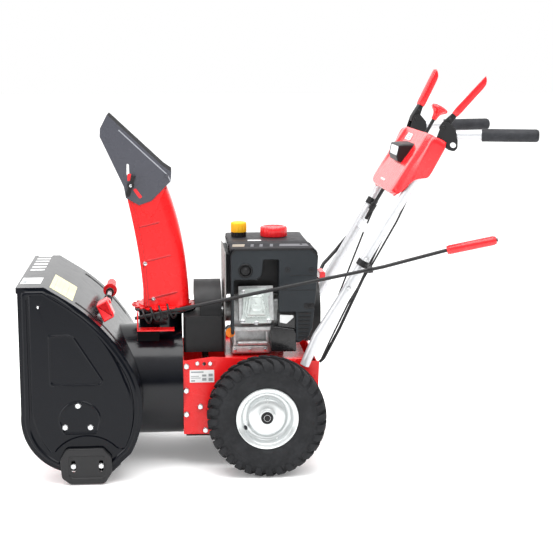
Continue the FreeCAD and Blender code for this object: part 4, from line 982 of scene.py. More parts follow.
def build_side_cover():
    """The cover with its screws, latch, ribs and louvres, and the intake box beneath it."""
    cover = piece_of("engine_side_cover", cover_mesh(), "cover_plastic", "machine", ["side_cover"])
    thicken(cover, 0.0022)
    weighted(cover)
    place = facing(COVER_FACE)
    form = bmesh.new()
    screw_head(form, 66, 562, 7)
    screw_head(form, 133, 560, 7)
    bevel(piece_from(form, "cover_screws", "black_plastic"), 0.0002)
    form = bmesh.new()
    oval = rounded(oblong(112, 144, 450, 466), 8, 6)
    add_layers(form, oval, ((0, -2), (0, 0.9), (0.8, 1.3), (3, 1.3), (3.8, 0.4)), place)
    screw_head(form, 128, 458, 4.5, 1.0)
    piece_from(form, "cover_latch", "black_plastic")
    form = bmesh.new()
    for low, high, z in ((74, 150, 545), (50, 146, 503)):
        prism(form, oblong(low, high, z, z + 1.4), -1, 0.9, place)
    border = [(-88, 607), (-79, 617), (129, 617), (145, 605), (148, 596), (151, 597), (148, 608),
              (131, 621.5), (-81, 621.5), (-91, 611)]
    prism(form, border, -2, 1.6, place)
    bevel(piece_from(form, "cover_ribs", "black_plastic"), 0.0006)
    form = bmesh.new()
    for k in range(7):
        z = 364 + 11.5 * k
        right = 124 + 1.6 * k
        prism(form, oblong(96, right, z, z + 5), 0.1, 1.0, place)
        prism(form, oblong(96, right, z + 6.2, z + 7.4), -0.5, 1.8, place)
    louvres = piece_from(form, "cover_louvres", "black_plastic")
    bevel(louvres, 0.0003)
    form = bmesh.new()
    box_loop = rounded([(19, 326), (19, 392), (26, 400), (86, 391), (92, 380), (92, 326)], 5, 4)
    add_layers(form, box_loop, ((0, -45), (0, -6), (0.6, -3.8), (2, -2.6), (4, -2.2)), place)
    shelf = rounded([(40, 396), (40, 442), (92, 442), (92, 390)], 4, 3)
    add_layers(form, shelf, ((0, -40), (0, -12), (1, -9), (3, -8.4)), place)
    piece_of("intake_box", mesh_from("intake_box", form, 40), "hood_plastic", "machine")
    tag = rounded([(45, 410), (45, 432), (84, 430), (84, 424), (64, 406)], 3, 3)
    flat_piece("intake_label", tag, 8.6, 7.4, lambda x, z, out: place(x, z, -out), "lamp_lens", "machine",
               0.0002, material=STICKER_WHITE)


def build_primer():
    """The priming bulb and the ring round it."""
    form = bmesh.new()
    centre = facing(COVER_FACE)(*PRIMER_PLACE)
    ring = [(-10, 14.6), (-10, 19.6), (0.5, 19.6), (1.6, 18.6), (1.6, 16.4), (0.2, 15.6), (-6, 14.6)]
    add_spin(form, ring, centre, (0, -1, 0), 48, loop=True)
    piece_from(form, "primer_ring", "black_plastic")
    bulb = [(-8, 14.2), (-3.5, 14.2), (-2.6, 13.4), (-2.2, 10), (-1.6, 7.5), (0.4, 5.5), (1.2, 3),
            (1.4, 0.02)]
    mesh = spun("primer", bulb, centre, (0, -1, 0), 48, sharp=50)
    piece_of("primer_dome", mesh, SLOT_OF["primer_bulb"], BODY_OF["primer_bulb"], ["primer_bulb"])


def build_engine_top():
    """The tank's moulded top: a raised deck, a sloping strip with slots, and a band over the cover."""
    top = 637.0
    # (y, z, low x, high x) along the moulding from the cover's edge over the top and down the far side
    profile = [(-120, 604, -92, 150), (-130, 612, -93, 150), (COVER_FACE + 1.0, 620, -94, 146),
               (COVER_FACE + 1.6, 623.5, -95, 144), (-121, 625.5, -96, 142), (-109, top - 6.4, -97, 137),
               (-106, top - 3.0, -97.5, 135), (-101, top - 2.2, -97.5, 133), (-97, top - 2.4, -98, 131),
               (-93, top - 0.6, -98, 129), (-88, top, -98, 128), (0, top, -98, 126), (88, top, -98, 126),
               (108, top - 3, -97, 127), (TANK_BACK - 0.3, top - 14, -97, 130), (TANK_BACK, 606, -97, 134)]
    shares = [0.0, 0.004, 0.012, 0.03, 0.5, 0.955, 0.982, 0.995, 1.0]
    drops = [6.0, 2.2, 0.8, 0.1, 0.0, 0.1, 1.0, 3.0, 8.0]
    form = bmesh.new()
    rows = []
    for y, z, low, high in profile:
        rows.append([form.verts.new(at(low + (high - low) * share, y, z - drop))
                     for share, drop in zip(shares, drops)])
    skin(form, rows, closed=False)
    deck = piece_of("engine_top", mesh_from("engine_top", form, 60), "hood_plastic", "machine",
                    ["fuel_tank"], ENGINE_BLACK)
    thicken(deck, 0.0025)
    bevel(deck, 0.0012, 2, 20)
    bevel(piece_of("tank_shell", clean_tank(), "hood_plastic", "machine", ["fuel_tank"]), 0.0007)

    def slope(x, t, out=0.0):
        """A place on the sloping strip: t from 0 at its low edge to 1 at its high edge."""
        y0, z0, y1, z1 = -121.0, 625.5, -109.0, top - 6.4
        return at(x, y0 + (y1 - y0) * t - 0.55 * out, z0 + (z1 - z0) * t + 0.83 * out)

    form = bmesh.new()
    for low, high in ((-37, -28), (-12, -3), (17, 26)):
        prism(form, [(low, -0.2), (high, -0.2), (high + 2, 0.9), (low + 2, 0.9)], -0.5, 1.6, slope)
    prism(form, [(44, -0.1), (128, -0.1), (122, 0.9), (46, 0.9)], -0.5, 1.4, slope)
    strip = piece_from(form, "engine_top_slots", "cast_alloy", material=SLOT_GREY)
    bevel(strip, 0.0003)
    form = bmesh.new()
    prism(form, [(-88, -0.1), (-54, -0.1), (-52, 0.9), (-86, 0.9)], -0.5, 1.4, slope)
    piece_from(form, "engine_top_badge", "cast_alloy", material=BADGE_BEIGE)
    form = bmesh.new()
    add_spin(form, [(-1, 4.5), (1.2, 4.2), (1.6, 3), (1.6, 0.1)], slope(106, 0.5), (0, -0.55, 0.83), 20)
    piece_from(form, "engine_top_screw", "black_plastic")
    card = oblong(-42, -4, -88, -70)
    flat_piece("engine_top_label", rounded(card, 1.5, 3), -0.4, 0.5, lambda x, y, out: at(x, y, top + out),
               "lamp_lens", "machine", 0.0002, material=STICKER_WHITE)
    form = bmesh.new()
    prism(form, oblong(8, 9.4, -90, 80), -0.5, 0.7, lambda x, y, out: at(x, y, top + out))
    piece_from(form, "engine_top_seam", "black_plastic")


def clean_tank():
    """The tank's CAD shape, cut off level just under the moulded deck."""
    form = clean_copy("fuel_tank")
    for vert in form.verts:
        vert.co.z = min(vert.co.z, 0.622)
    return cad_mesh("tank_shell", form)


def fluted_cap(name, node, skirt, steps, depth, top_sink, material=None):
    """A screw cap with soft flutes round its side, a rounded rim and a sunk top."""
    low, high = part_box(node)
    centre = Vector(((low.x + high.x) / 2, (low.y + high.y) / 2, low.z))
    radius, height = (high.x - low.x) / 2, high.z - low.z
    share = [(0.0, 0.90), (0.02, 0.97), (0.10, 1.0), (0.72, 1.0), (0.86, 0.985), (0.95, 0.94), (0.99, 0.86),
             (1.0, 0.76)]
    profile = [(skirt + (height - skirt) * a, radius * r, 1.0) for a, r in share]
    profile += [(height - top_sink * 0.5, radius * 0.70, 0), (height - top_sink, radius * 0.64, 0)]
    profile += [(height - top_sink, radius * 0.3, 0), (height - top_sink * 0.6, 0.00002, 0)]
    form = bmesh.new()
    rings = []
    for a, r, fluted in profile:
        ring = []
        for k in range(steps * 8):
            t = 2 * math.pi * k / (steps * 8)
            wave = max(0.0, math.cos(steps * t)) ** 2 * depth * fluted
            ring.append(centre + Vector((math.cos(t), math.sin(t), 0)) * max(r - wave,
                                                                             0.00002) + Vector((0, 0, a)))
        rings.append(ring)
    add_rings(form, rings)
    return piece_of(name, mesh_from(name, form, 45), SLOT_OF[node], BODY_OF[node], [node], material)


def build_caps():
    """The fuel and oil caps, and the ribbed black skirt under the oil cap."""
    fluted_cap("fuel_cap_fluted", "fuel_cap", 0.0, 14, 0.0016, 0.003)
    fluted_cap("oil_cap_fluted", "oil_cap", 0.013, 12, 0.0012, 0.002)
    low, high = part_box("oil_cap")
    form = bmesh.new()
    centre = Vector(((low.x + high.x) / 2, (low.y + high.y) / 2, low.z))
    for k in range(14):
        t = 2 * math.pi * k / 14
        way, across = Vector((math.cos(t), math.sin(t), 0)), Vector((-math.sin(t), math.cos(t), 0))
        corners = oblong(0.0165, 0.0218, -0.0022, 0.0022)
        rings = [[centre + way * a + across * b + Vector((0, 0, z)) for a, b in corners]
                 for z in (0.0, 0.0132)]
        add_rings(form, rings)
    add_spin(form, [(0, 1), (0, 19.5), (13.2, 18.5), (13.2, 1)], centre, (0, 0, 1), 32)
    bevel(piece_from(form, "oil_cap_skirt", "black_plastic", BODY_OF["oil_cap"]),
          0.0004)


SLOT_GREY = plastic("slot_grey", (0.13, 0.13, 0.14), 0.4, 0.00004)
ENGINE_BLACK = matte("engine_black", (0.016, 0.016, 0.018), 0.5, 0.3)
BADGE_BEIGE = plastic("badge_beige", (0.30, 0.26, 0.21), 0.35, 0.00002)


CYLINDER_TILT = math.radians(15)
CRANK_HEIGHT = 420.0  # the cylinder leans about this height
HEAD_FACE = 129.0


def build_valve_cover():
    """The pressed valve cover: two bolted flanges, a stepped dome with soft shoulders."""
    def place(x, z, out=0.0):
        y, up = -HEAD_FACE - out, z - CRANK_HEIGHT
        lean, rise = math.sin(CYLINDER_TILT), math.cos(CYLINDER_TILT)
        return at(x, y * rise + up * lean, CRANK_HEIGHT - y * lean + up * rise)

    form = bmesh.new()
    plate = rounded([(-66, 470), (-54, 474), (6, 474), (19, 470), (19, 456), (12, 446), (16, 400),
                     (21, 388), (21, 374), (-66, 374), (-66, 388), (-60, 400), (-58, 446), (-66, 456)], 6,
                    4, 12)
    add_layers(form, plate, ((0.5, -6), (0, -5), (0, 0.6), (0.8, 1.4), (2, 1.6)), place)
    dome = rounded([(-46, 460), (2, 460), (13, 404), (8, 390), (-50, 390), (-56, 404)], 13, 6)
    steps = ((0, 1), (0.5, 5), (1.5, 7.4), (3, 8.2), (5, 8.4), (5.8, 10), (6.6, 14), (8, 16.2),
             (10.5, 17.2), (14, 17.4))
    add_layers(form, dome, steps, place)
    ring = rounded([(-34, 428), (-8, 428), (-3, 418), (-10, 407), (-32, 407), (-39, 418)], 8, 5)
    raised = ((0, 16.8), (0.8, 18.0), (2.2, 18.2), (3.2, 17.6))
    add_layers(form, ring, raised, place)
    cover = piece_of("valve_cover_pressed", mesh_from("valve_cover", form, 32), "cast_alloy", "machine",
                     ["valve_cover"], CLEAN_ALLOY)
    bevel(cover, 0.0004)
    form = bmesh.new()
    for x, z in ((-58, 464), (10, 464), (-59, 381), (12, 381), (-22, 376)):
        axis = place(x, z, 1) - place(x, z, 0)
        head = [(0.5, 6.6), (2, 6.6), (2.4, 6), (2.4, 4.6), (6, 4.6), (6.6, 3.6), (6.6, 0.05)]
        add_spin(form, head, place(x, z, 0), axis, 20)
    piece_from(form, "valve_cover_bolts", "zinc_steel")


def build_crankcase_front():
    """What shows under the cylinder: the mounting flange, a pipe and the sump's bolted edge."""
    place = facing(1000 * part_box("crankcase")[0].y)
    form = bmesh.new()
    flange = rounded([(-88, 395), (24, 395), (26, 386), (20, 382), (-86, 382)], 3, 3)
    add_layers(form, flange, ((0, -8), (0, 12), (0.8, 13), (2, 13.2)), place)
    pipe = [place(-72, 345, 1), place(12, 345, 1)]
    add_spin(form, [(0, 1), (0, 6.2), (84, 6.2), (84, 1)], pipe[0], pipe[1] - pipe[0], 20)
    sump = rounded(oblong(-88, 14, 319, 336), 3, 3)
    add_layers(form, sump, ((0, -4), (0, 3.2), (0.8, 4), (2, 4.2)), place)
    for x in (-84, 8):
        prism(form, [(x, 340), (x + 7, 340), (x + 5, 380), (x, 380)], -2, 3, place)
    bevel(piece_from(form, "crankcase_edges", "cast_alloy"), 0.0005)
    form = bmesh.new()
    for x, z, out in ((-38, 327, 4), (-80, 327, 4), (6, 327, 4)):
        head = [(-0.5, 5.6), (1, 5.6), (1.2, 4.4), (4.4, 4.2), (5, 3.2), (5, 0.05)]
        add_spin(form, head, place(x, z, out), (0, -1, 0), 6)
    piece_from(form, "crankcase_bolts", "zinc_steel")


build_side_cover()
build_primer()
build_valve_cover()
build_crankcase_front()
build_engine_top()
build_caps()


# ---- housing stickers, slits and the clean-out tool
TOOL_X, TOOL_Z = -437, 474
ROOF = [(-668, 546), (-597, 546), (-538, 508.6)] + arc_through((-379, 338), (-452, 437), (-538, 508.6),
                                                               40)[::-1]


def roof_strip(name, low, high, left, right, out, material, slot="housing_paint"):
    """A thin skin lying on the housing's roof, from x low to high and between two widths."""
    points = []
    for (x0, z0), (x1, z1) in zip(ROOF, ROOF[1:]):
        for x in [low, x0, high]:
            if x0 <= x <= x1 and low <= x <= high and x1 > x0:
                way = Vector((x1 - x0, z1 - z0)).normalized()
                points.append((x, z0 + (z1 - z0) * (x - x0) / (x1 - x0), -way.y, way.x))
    points = sorted(set(points), key=lambda p: p[0])
    thin = [points[0]] + [b for a, b in zip(points, points[1:]) if b[0] - a[0] > 0.5]
    loop = [(x + nx * out, z + nz * out) for x, z, nx, nz in thin]
    loop += [(x - nx * 0.6, z - nz * 0.6) for x, z, nx, nz in reversed(thin)]
    form = bmesh.new()
    add_rings(form, [[at(x, y, z) for x, z in loop] for y in (left, right)])
    return piece_of(name, mesh_from(name, form), slot, "machine", material=material)


def wide_in_y(verts):
    across = [v.co.y for v in verts]
    return max(across) - min(across)


def build_roof():
    """The wrapped sheet without the CAD clips, its stickers, white bars, slits, and the tool's clips."""
    form = clean_copy("auger_housing")
    small = [v for group in islands(form) if wide_in_y(group) < 0.1 for v in group]
    bmesh.ops.delete(form, geom=small, context="VERTS")
    mesh = cad_mesh("housing_wrap", form)
    bevel(piece_of("housing_wrap", mesh, "housing_paint", "machine", ["auger_housing"]), 0.0006)
    for number, y in enumerate((262, 212, 162, 112, 62, 12)):
        roof_strip("roof_bar_%d" % number, -660, -620, y - 12, y + 12, 0.35, STICKER_WHITE, "lamp_lens")
    roof_strip("roof_sticker", -666, -611, -215, -123, 0.35, STICKER_WHITE, "lamp_lens")
    for number, (low, high, left, right) in enumerate(((-660, -650, -205, -170), (-642, -640, -208, -135),
                                                       (-632, -630, -208, -145), (-622, -620, -208, -135))):
        roof_strip("roof_mark_%d" % number, low, high, left, right, 0.5, STICKER_GREY, "lamp_lens")
    roof_strip("roof_notice", -586, -526, -232, -30, 0.35, STICKER_YELLOW, "lamp_lens")
    for number, (low, high) in enumerate(((-577, -575), (-567, -566), (-557, -556), (-545, -543))):
        roof_strip("roof_line_%d" % number, low, high, -215, -70, 0.45, STICKER_GREY, "lamp_lens")
    for side, word in SIDES:
        y = 230 * side
        roof_strip("slit_%s" % word, -519, -398, y - 4.5, y + 4.5, 0.7, MATERIALS["black_plastic"])
        roof_strip("slit_rim_%s" % word, -517, -400, y + 4.5, y + 6.2, 1.4, MATERIALS["housing_paint"])
    form = bmesh.new()
    way = Vector((0.545, 0, 0.838))
    for y in (-70, 40):
        axis = at(TOOL_X, y, TOOL_Z)
        add_spin(form, [(-50, 5.6), (-10, 5.6), (-8.5, 4.6)], axis, way, 16)
        hook = [(-7, 7.2), (-7, 11.2), (7, 11.2), (7, 7.2)]
        add_spin(form, hook, axis, (0, 1, 0), 24, loop=True)
    piece_from(form, "tool_clips", "black_plastic")


def build_tool():
    """The clean-out tool: ribbed grip, shaft, socket and closed scoop."""
    axis = at(TOOL_X, 0, TOOL_Z)
    grip = [(60, 5), (60, 19.4), (61, 20), (63.4, 20), (64.4, 19.2), (65, 13.6), (68, 13)]
    for k in range(9):
        grip += [(72 + 12 * k, 13.2), (74 + 12 * k, 12.4), (76 + 12 * k, 12.4), (78 + 12 * k, 13.3)]
    grip += [(180, 13.6), (186, 12), (189, 8), (190, 0.1)]
    mesh = spun("tool_grip", grip, axis, (0, 1, 0), 40)
    piece_of("tool_grip", mesh, "red_plastic", "tool", ["clean_out_tool"])
    shaft = [(-150, 4), (-150, 6.4), (60, 6.4), (60, 4)]
    mesh = spun("tool_shaft", shaft, axis, (0, 1, 0), 24)
    piece_of("tool_shaft", mesh, "zinc_steel", "tool")
    u, v = Vector((0.87, 0.49)), Vector((0.41, -0.91))

    def place(a, b, y):
        return at(-441 + u.x * a + v.x * b, y, 463 + u.y * a + v.y * b)

    form = bmesh.new()
    loop = rounded(oblong(-16, 16, -24, 26), 3, 3)
    rings = [(0.8, -128), (0, -129), (0, -196), (0.8, -197.4), (2, -198), (3, -198), (3.6, -196.4),
             (4.4, -196)]
    add_layers(form, loop, rings, place)
    piece_of("tool_scoop", mesh_from("tool_scoop", form, 40), "red_plastic", "tool")
    form = bmesh.new()
    add_spin(form, [(-128, 4), (-128, 10), (-104, 9.4), (-104, 4)], axis, (0, 1, 0), 24)
    piece_from(form, "tool_socket", "red_plastic", "tool")


def build_skids():
    """Skid shoes: pressed plates with a sunk middle and two upright slots."""
    outline = rounded([(-567, 72), (-549, 103), (-450, 103), (-427, 78), (-427, 34), (-447, 2), (-540, 2),
                       (-563, 20)], 16, 7)
    well = rounded([(-546, 84), (-443, 84), (-441, 24), (-455, 17), (-535, 17), (-546, 26)], 10, 5)
    sink = ((0, 0), (1.5, -0.4), (3.5, -3), (5.5, -3.6))
    for side, word in SIDES:
        shoe = Embossed(side, 280.4)
        slots = [rounded(oblong(x - 5.5, x + 5.5, 36, 70), 5.4, 5) for x in (-531, -456)]

        def floor(level):
            return shoe.feature(well, sink, level, 6, [lambda base, s=s: shoe.hole(s, base, 4)
                                                       for s in slots])

        rim = shoe.ring(outline, 0)
        rows = [rim] + [shoe.ring(inset(outline, d), h)
                        for d, h in ((0, 8), (0.8, 10.4), (2.6, 11.5), (4, 11.6))]
        skin(shoe.form, rows)
        shoe.fill(rows[-1], [floor(11.6)])
        piece = piece_of("skid_shoe_" + word, mesh_from("skid_shoe", shoe.form, 50), SLOT_OF["skid_" + word],
                         BODY_OF["skid_" + word], ["skid_" + word])
        thicken(piece, 0.003)
        weighted(piece)


build_roof()
build_tool()
build_skids()


# ---- chute, hood, knobs
# the hood's sides: a dark blue-grey paint lifted towards grey as painted reflection, the lit copy beside the
# matte black back and top
HOOD_PAINT_AND_REFLECTION = paint("hood_paint_and_painted_reflection", (0.050, 0.052, 0.066), 0.26, 0.6, 0.000004)
# darker red for the chute's ridges and creases: painted shade along them
RED_PAINTED_SHADE = plastic("red_painted_shade", (0.50, 0.014, 0.018), 0.3, 0.00001, coat=0.2)

# light grey for the hood's folded edges: painted highlights
FOLD_HIGHLIGHT = paint("fold_painted_highlight", (0.30, 0.31, 0.34), 0.25, 0.6, 0.000004)


def chute_edges(z):
    """The chute's front and back at a height."""
    levels = [(418.0, -336.0, -208.0), (560.0, -344.0, -215.0), (650.0, -357.0, -229.0),
              (800.0, -388.0, -274.0)]
    for (z0, f0, b0), (z1, f1, b1) in zip(levels, levels[1:]):
        if z <= z1 or z1 == 800.0:
            t = (z - z0) / (z1 - z0)
            return f0 + (f1 - f0) * t, b0 + (b1 - b0) * t


def build_chute():
    """Pressed ridges along the chute's sides, in a darker red as painted shade, and its bolts."""
    form = bmesh.new()
    for side in (-1, 1):
        y = side * 66
        for inwards in (7, 14):
            rings = []
            for k in range(25):
                z = 440 + 330 * k / 24
                x = chute_edges(z)[0] + inwards
                rings.append([at(x, y - side * 0.5, z), at(x + 0.4, y + side * 0.8, z),
                              at(x + 1.6, y + side * 0.8, z), at(x + 2.2, y - side * 0.5, z)])
            add_rings(form, rings)
        for z, long in ((676, 60), (578, 76), (470, 84)):
            front = chute_edges(z)[0] + 15
            rings = []
            for k in range(17):
                t = k / 16
                half = 3.2 * min(1.0, math.sin(math.pi * t) * 4 + 0.05)
                x, up = front + long * t, z + 0.24 * long * t
                rings.append([at(x, y - side * 0.4, up - half), at(x, y + side * 0.9, up - half * 0.8),
                              at(x, y + side * 1.5, up - half * 0.3), at(x, y + side * 1.5, up + half * 0.3),
                              at(x, y + side * 0.9, up + half * 0.8), at(x, y - side * 0.4, up + half)])
            add_rings(form, rings)
    piece_of("chute_ridges_painted_shade", mesh_from("chute_ridges_painted_shade", form, 50), "red_plastic", "chute", material=RED_PAINTED_SHADE)
    form = bmesh.new()
    for side in (-1, 1):
        for x, z in ((-332, 572), (-310, 470)):
            head = [(-1, 6.5), (0.6, 6.5), (1.0, 5.8), (3.2, 4.8), (4.0, 3.2), (4.2, 0.05)]
            add_spin(form, head, at(x, side * 66, z), (0, side, 0), 24)
    piece_from(form, "chute_bolts", "zinc_steel", "chute")


def build_hood():
    """The hood: its sides polished, in a blue-grey that is partly painted reflection, its back and top dull
    and in matte black as painted shade, with painted highlights on its folded edges.
    """
    mesh = cad_mesh("hood", clean_copy("deflector"))
    hood = piece_of("hood", mesh, SLOT_OF["deflector"], BODY_OF["deflector"], ["deflector"], HOOD_PAINT_AND_REFLECTION)
    # the back and top faces take matte black: painted shade, a shaded copy of the sides' paint
    blacken(mesh, lambda face: abs(face.normal.y) < 0.5)
    bevel(hood, 0.0007)
    # raised strips along the folded edges in light grey: painted highlights
    form = bmesh.new()
    for side in (-1, 1):
        y = side * 71.2
        edge = [(-400, 948), (-345, 896), (-268, 824), (-258, 806)]
        for (x0, z0), (x1, z1) in zip(edge, edge[1:]):
            rings = [[at(x0 + a, y + side * b, z0 + c), at(x1 + a, y + side * b, z1 + c)]
                     for a, b, c in ((0, -0.6, 0), (0.3, 0.5, 0.3), (1.6, 0.8, 1.6), (2.4, 0.4, 2.4),
                                     (2.6, -0.6, 2.6))]
            rows = [[form.verts.new(p) for p in ring] for ring in rings]
            skin(form, rows, closed=False)
    piece_from(form, "hood_fold_highlights", "black_steel", BODY_OF["deflector"], material=FOLD_HIGHLIGHT)
    form = bmesh.new()
    slot = rounded([(-379, 824), (-371, 824), (-372, 854), (-378, 856)], 3, 4)
    prism(form, slot, 70.9, 71.5, lambda x, z, y: at(x, -y, z))
    piece_from(form, "hood_slot", "lamp_lens", BODY_OF["deflector"], material=STICKER_WHITE)
    form = bmesh.new()
    ear = rounded([(-377, 808), (-368, 808), (-366, 828), (-376, 828)], 2, 3)
    prism(form, ear, 70.9, 71.7, lambda x, z, y: at(x, -y, z))
    low_slot = rounded([(-362, 783), (-354, 787), (-336, 762), (-344, 758)], 3, 4)
    prism(form, low_slot, 70.9, 71.7, lambda x, z, y: at(x, -y, z))
    piece_from(form, "hood_ear", "red_plastic", BODY_OF["deflector"])


WING_X, WING_Z = -368, 795


def build_wing_knobs():
    """The hood's two wing knobs, each on the end of its stud."""
    for side, word in SIDES:
        form = bmesh.new()
        base = at(WING_X, side * 72, WING_Z)
        boss = [(0, 4), (0, 9), (7, 9.4), (11, 8.6), (12.4, 6.5), (12.4, 4.6), (10.6, 4.2), (10.6, 0.05)]
        add_spin(form, boss, base, (0, side, 0), 32)
        for turn in (0, math.pi):
            way = Vector((math.cos(1.26 + turn), math.sin(1.26 + turn)))
            rings = []
            for a, half, low, high in ((3, 6.5, 2, 11), (10, 5.5, 3, 11), (18, 6, 3.4, 11.5),
                                       (25, 6.6, 3.6, 12.5), (29, 5.6, 4, 12.5), (31, 2.6, 6, 11)):
                ring = []
                for b, depth in ((-1, low + 1), (-0.7, low), (0.7, low), (1, low + 1), (1, high - 1.4),
                                 (0.6, high), (-0.6, high), (-1, high - 1.4)):
                    x, z = way.x * a - way.y * b * half, way.y * a + way.x * b * half
                    ring.append(at(WING_X + x, side * (72 + depth), WING_Z + z))
                rings.append(ring)
            add_rings(form, rings)
        knob = piece_of("wing_knob_" + word, mesh_from("wing_knob", form, 40), SLOT_OF["wing_knobs"],
                        BODY_OF["wing_knobs"], ["wing_knobs"])
        bevel(knob, 0.0005)
        mesh = spun("stud", [(8, 1), (8, 4), (12.4, 4), (13, 3), (13, 0.1)], base,
                    (0, side, 0), 20)
        piece_of("wing_stud_" + word, mesh, "zinc_steel", BODY_OF["wing_knobs"])


def build_frame_label():
    """A plain rating plate with grey blocks on the frame's side."""
    plate = rounded(oblong(-211, -142, 245, 281), 1.5, 3)
    flat_piece("frame_label", plate, -0.4, 0.5, lambda x, z, out: at(x, -(FRAME_FACE + out), z),
               "lamp_lens", "machine", 0.0002, material=STICKER_WHITE)
    form = bmesh.new()
    marks = [(-207, -172, 273, 277), (-207, -185, 262, 264), (-207, -180, 257, 259), (-176, -164, 262, 268),
             (-176, -164, 250, 258), (-158, -146, 262, 270), (-158, -146, 249, 258), (-207, -196, 248, 252)]
    for low, high, bottom, top in marks:
        prism(form, oblong(low, high, bottom, top), 0.3, 0.7,
              lambda x, z, out: at(x, -(FRAME_FACE + out), z))
    piece_from(form, "frame_label_marks", "lamp_lens", material=STICKER_GREY)


DRUM_TOP = 0.3865  # metres: where the bracket's red gives way to black


def build_worm_bracket():
    """The crank's angle bracket: red above the drum, black where it goes down beside it."""
    mesh = cad_mesh("worm_bracket_painted", clean_copy("worm_bracket"))
    piece = piece_of("worm_bracket_painted", mesh, SLOT_OF["worm_bracket"], "machine", ["worm_bracket"])
    blacken(mesh, lambda face: face.center.z < DRUM_TOP)
    bevel(piece, 0.0005)


def build_bar_fittings():
    """Bolts through the handlebars, and the clip that holds the lamp's harness."""
    joint, upper = Vector((205, 166.5, 466)), Vector((330, 178, 680))
    clip = at(345, 118, 706)
    form = bmesh.new()
    for side in (-1, 1):
        for share in (0.60, 0.42, 0.22):
            x, y, z = joint.lerp(upper, share)
            head = [(12, 4), (14.2, 8.4), (15.4, 8.4), (15.6, 6), (19, 5.6), (20, 4.4), (20, 0.05)]
            add_spin(form, head, at(x, side * y, z), (0, side, 0), 20)
    piece_from(form, "bar_bolts", "zinc_steel")
    form = bmesh.new()
    way = (upper - joint).normalized()
    centre = at(upper.x + 22, upper.y + 1.5, upper.z + 34)
    add_spin(form, [(-10, 13.7), (-10, 17.2), (10, 17.2), (10, 13.7)], centre, way, 32, loop=True)
    arm = [centre + Vector((0.004, -0.012, -0.004)), clip]
    reach = 1000 * (arm[1] - arm[0]).length
    add_spin(form, [(0, 1), (0, 6.5), (reach, 6.5), (reach, 1)], arm[0], arm[1] - arm[0], 16)
    add_spin(form, [(-9, 5.8), (-9, 9.5), (9, 9.5), (9, 5.8)], clip,
             Vector((-0.45, 0.25, -0.86)), 24, loop=True)
    piece_from(form, "harness_clip", "black_plastic")


FRAME_FACE = -1000 * min(v.co.y for v in NODES["drive_frame"].data.vertices if v.co.x < at(-150, 0, 0).x)
def build_axle_ends():
    """Black caps on the ends of the axle."""
    low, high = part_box("axle")
    for side, word, y in ((-1, "left", low.y), (1, "right", high.y)):
        profile = [(-4, 8.5), (0.3, 8.5), (0.8, 7.5), (0.8, 4), (0.2, 3.2), (0.2, 0.1)]
        centre = Vector(((low.x + high.x) / 2, y, (low.z + high.z) / 2))
        mesh = spun("axle_cap", profile, centre, (0, side, 0), 32)
        piece_of("axle_cap_" + word, mesh, "black_plastic", "wheels")


build_chute()
build_hood()
build_wing_knobs()
build_frame_label()
build_worm_bracket()
build_bar_fittings()
build_axle_ends()


# ---- everything else keeps its CAD shape
for node_name in sorted(NODES):
    if node_name not in REPLACED:
        soften(node_name)


# ---- stage, light and camera
def build_floor():
    """A plain white floor that glows a little, so that it meets the white backdrop."""
    form = bmesh.new()
    bmesh.ops.create_grid(form, x_segments=8, y_segments=8, size=30)
    mesh = bpy.data.meshes.new("floor")
    form.to_mesh(mesh)
    form.free()
    floor = bpy.data.objects.new("floor", mesh)
    bpy.context.scene.collection.objects.link(floor)
    white = Shader("floor_white", (0.93, 0.93, 0.93), 0.95, specular=0.1)
    white.tint(white.noise(3, 2), (0.915, 0.915, 0.915))
    white.bsdf.inputs["Emission Color"].default_value = (1, 1, 1, 1)
    white.bsdf.inputs["Emission Strength"].default_value = 0.16
    mesh.materials.append(white.material)
    floor.location.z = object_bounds()[0][2] - 0.0005


def softbox(name, place, aim, width, height, power):
    data = bpy.data.lights.new(name, "AREA")
    data.shape = "RECTANGLE"
    data.size = width
    data.size_y = height
    data.energy = power
    lamp = bpy.data.objects.new(name, data)
    lamp.location = place
    lamp.rotation_euler = (Vector(aim) - Vector(place)).to_track_quat("-Z", "Y").to_euler()
    bpy.context.scene.collection.objects.link(lamp)


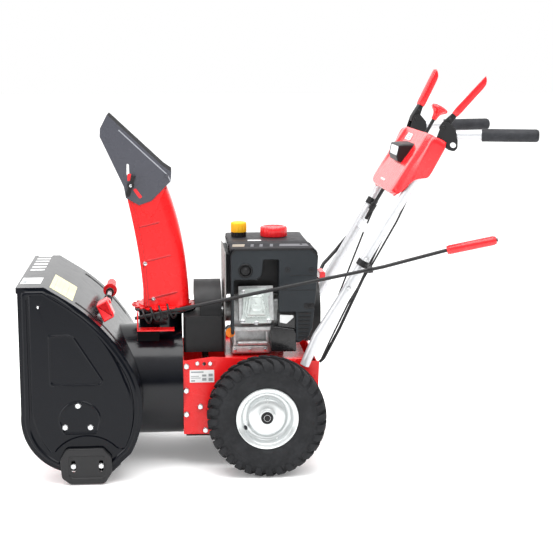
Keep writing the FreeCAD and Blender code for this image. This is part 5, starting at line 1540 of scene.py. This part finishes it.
def build_world():
    """A white room that is bright overhead and behind, and dimmer on the front side."""
    world = bpy.data.worlds.new("studio")
    world.use_nodes = True
    tree = world.node_tree

    def made(kind, **values):
        node = tree.nodes.new(kind)
        for socket, value in values.items():
            node.inputs[socket.replace("_", " ")].default_value = value
        return node

    split = made("ShaderNodeSeparateXYZ")
    tree.links.new(made("ShaderNodeTexCoord").outputs["Generated"], split.inputs["Vector"])
    behind = made("ShaderNodeMapRange", From_Min=-0.5, From_Max=0.9, To_Min=0.06, To_Max=1.35)
    above = made("ShaderNodeMapRange", From_Min=0.1, From_Max=0.8, To_Min=0.1, To_Max=1.45)
    tree.links.new(split.outputs["Y"], behind.inputs["Value"])
    tree.links.new(split.outputs["Z"], above.inputs["Value"])
    most = tree.nodes.new("ShaderNodeMath")
    most.operation = "MAXIMUM"
    tree.links.new(behind.outputs["Result"], most.inputs[0])
    tree.links.new(above.outputs["Result"], most.inputs[1])
    room = tree.nodes["Background"]
    room.inputs["Color"].default_value = (1, 1, 1, 1)
    tree.links.new(most.outputs["Value"], room.inputs["Strength"])
    backdrop = made("ShaderNodeBackground", Color=(1, 1, 1, 1), Strength=1.0)
    mix = tree.nodes.new("ShaderNodeMixShader")
    tree.links.new(made("ShaderNodeLightPath").outputs["Is Camera Ray"], mix.inputs["Fac"])
    tree.links.new(room.outputs["Background"], mix.inputs[1])
    tree.links.new(backdrop.outputs["Background"], mix.inputs[2])
    tree.links.new(mix.outputs["Shader"], tree.nodes["World Output"].inputs["Surface"])
    bpy.context.scene.world = world
    bpy.context.scene.view_settings.view_transform = "Standard"


CAMERA_LENS, SENSOR_WIDTH = 85.17, 36
CAMERA_PLACE = (-266.3, -3735.2, 1173.1)
CAMERA_DOWN, CAMERA_RIGHT = 9.905, 4.79  # degrees from level, and from straight at the left side


def build_camera():
    data = bpy.data.cameras.new("camera")
    data.lens = CAMERA_LENS
    data.sensor_width = SENSOR_WIDTH
    camera = bpy.data.objects.new("camera", data)
    camera.location = at(*CAMERA_PLACE)
    camera.rotation_euler = (math.radians(90 - CAMERA_DOWN), 0, math.radians(-CAMERA_RIGHT))
    bpy.context.scene.collection.objects.link(camera)
    bpy.context.scene.camera = camera


build_floor()
build_world()
softbox("overhead", (-0.3, -0.5, 3.0), (-0.1, 0, 0.4), 3.0, 2.2, 104)
softbox("front_fill", (-2.2, -3.0, 2.0), (0, 0, 0.4), 1.2, 1.6, 8)
softbox("left_strip", (-3.0, -1.3, 1.1), (-0.5, -0.3, 0.4), 0.9, 2.4, 26)
softbox("right_strip", (1.5, -1.9, 2.8), (-0.5, -0.3, 0.4), 2.4, 0.8, 20)
build_camera()
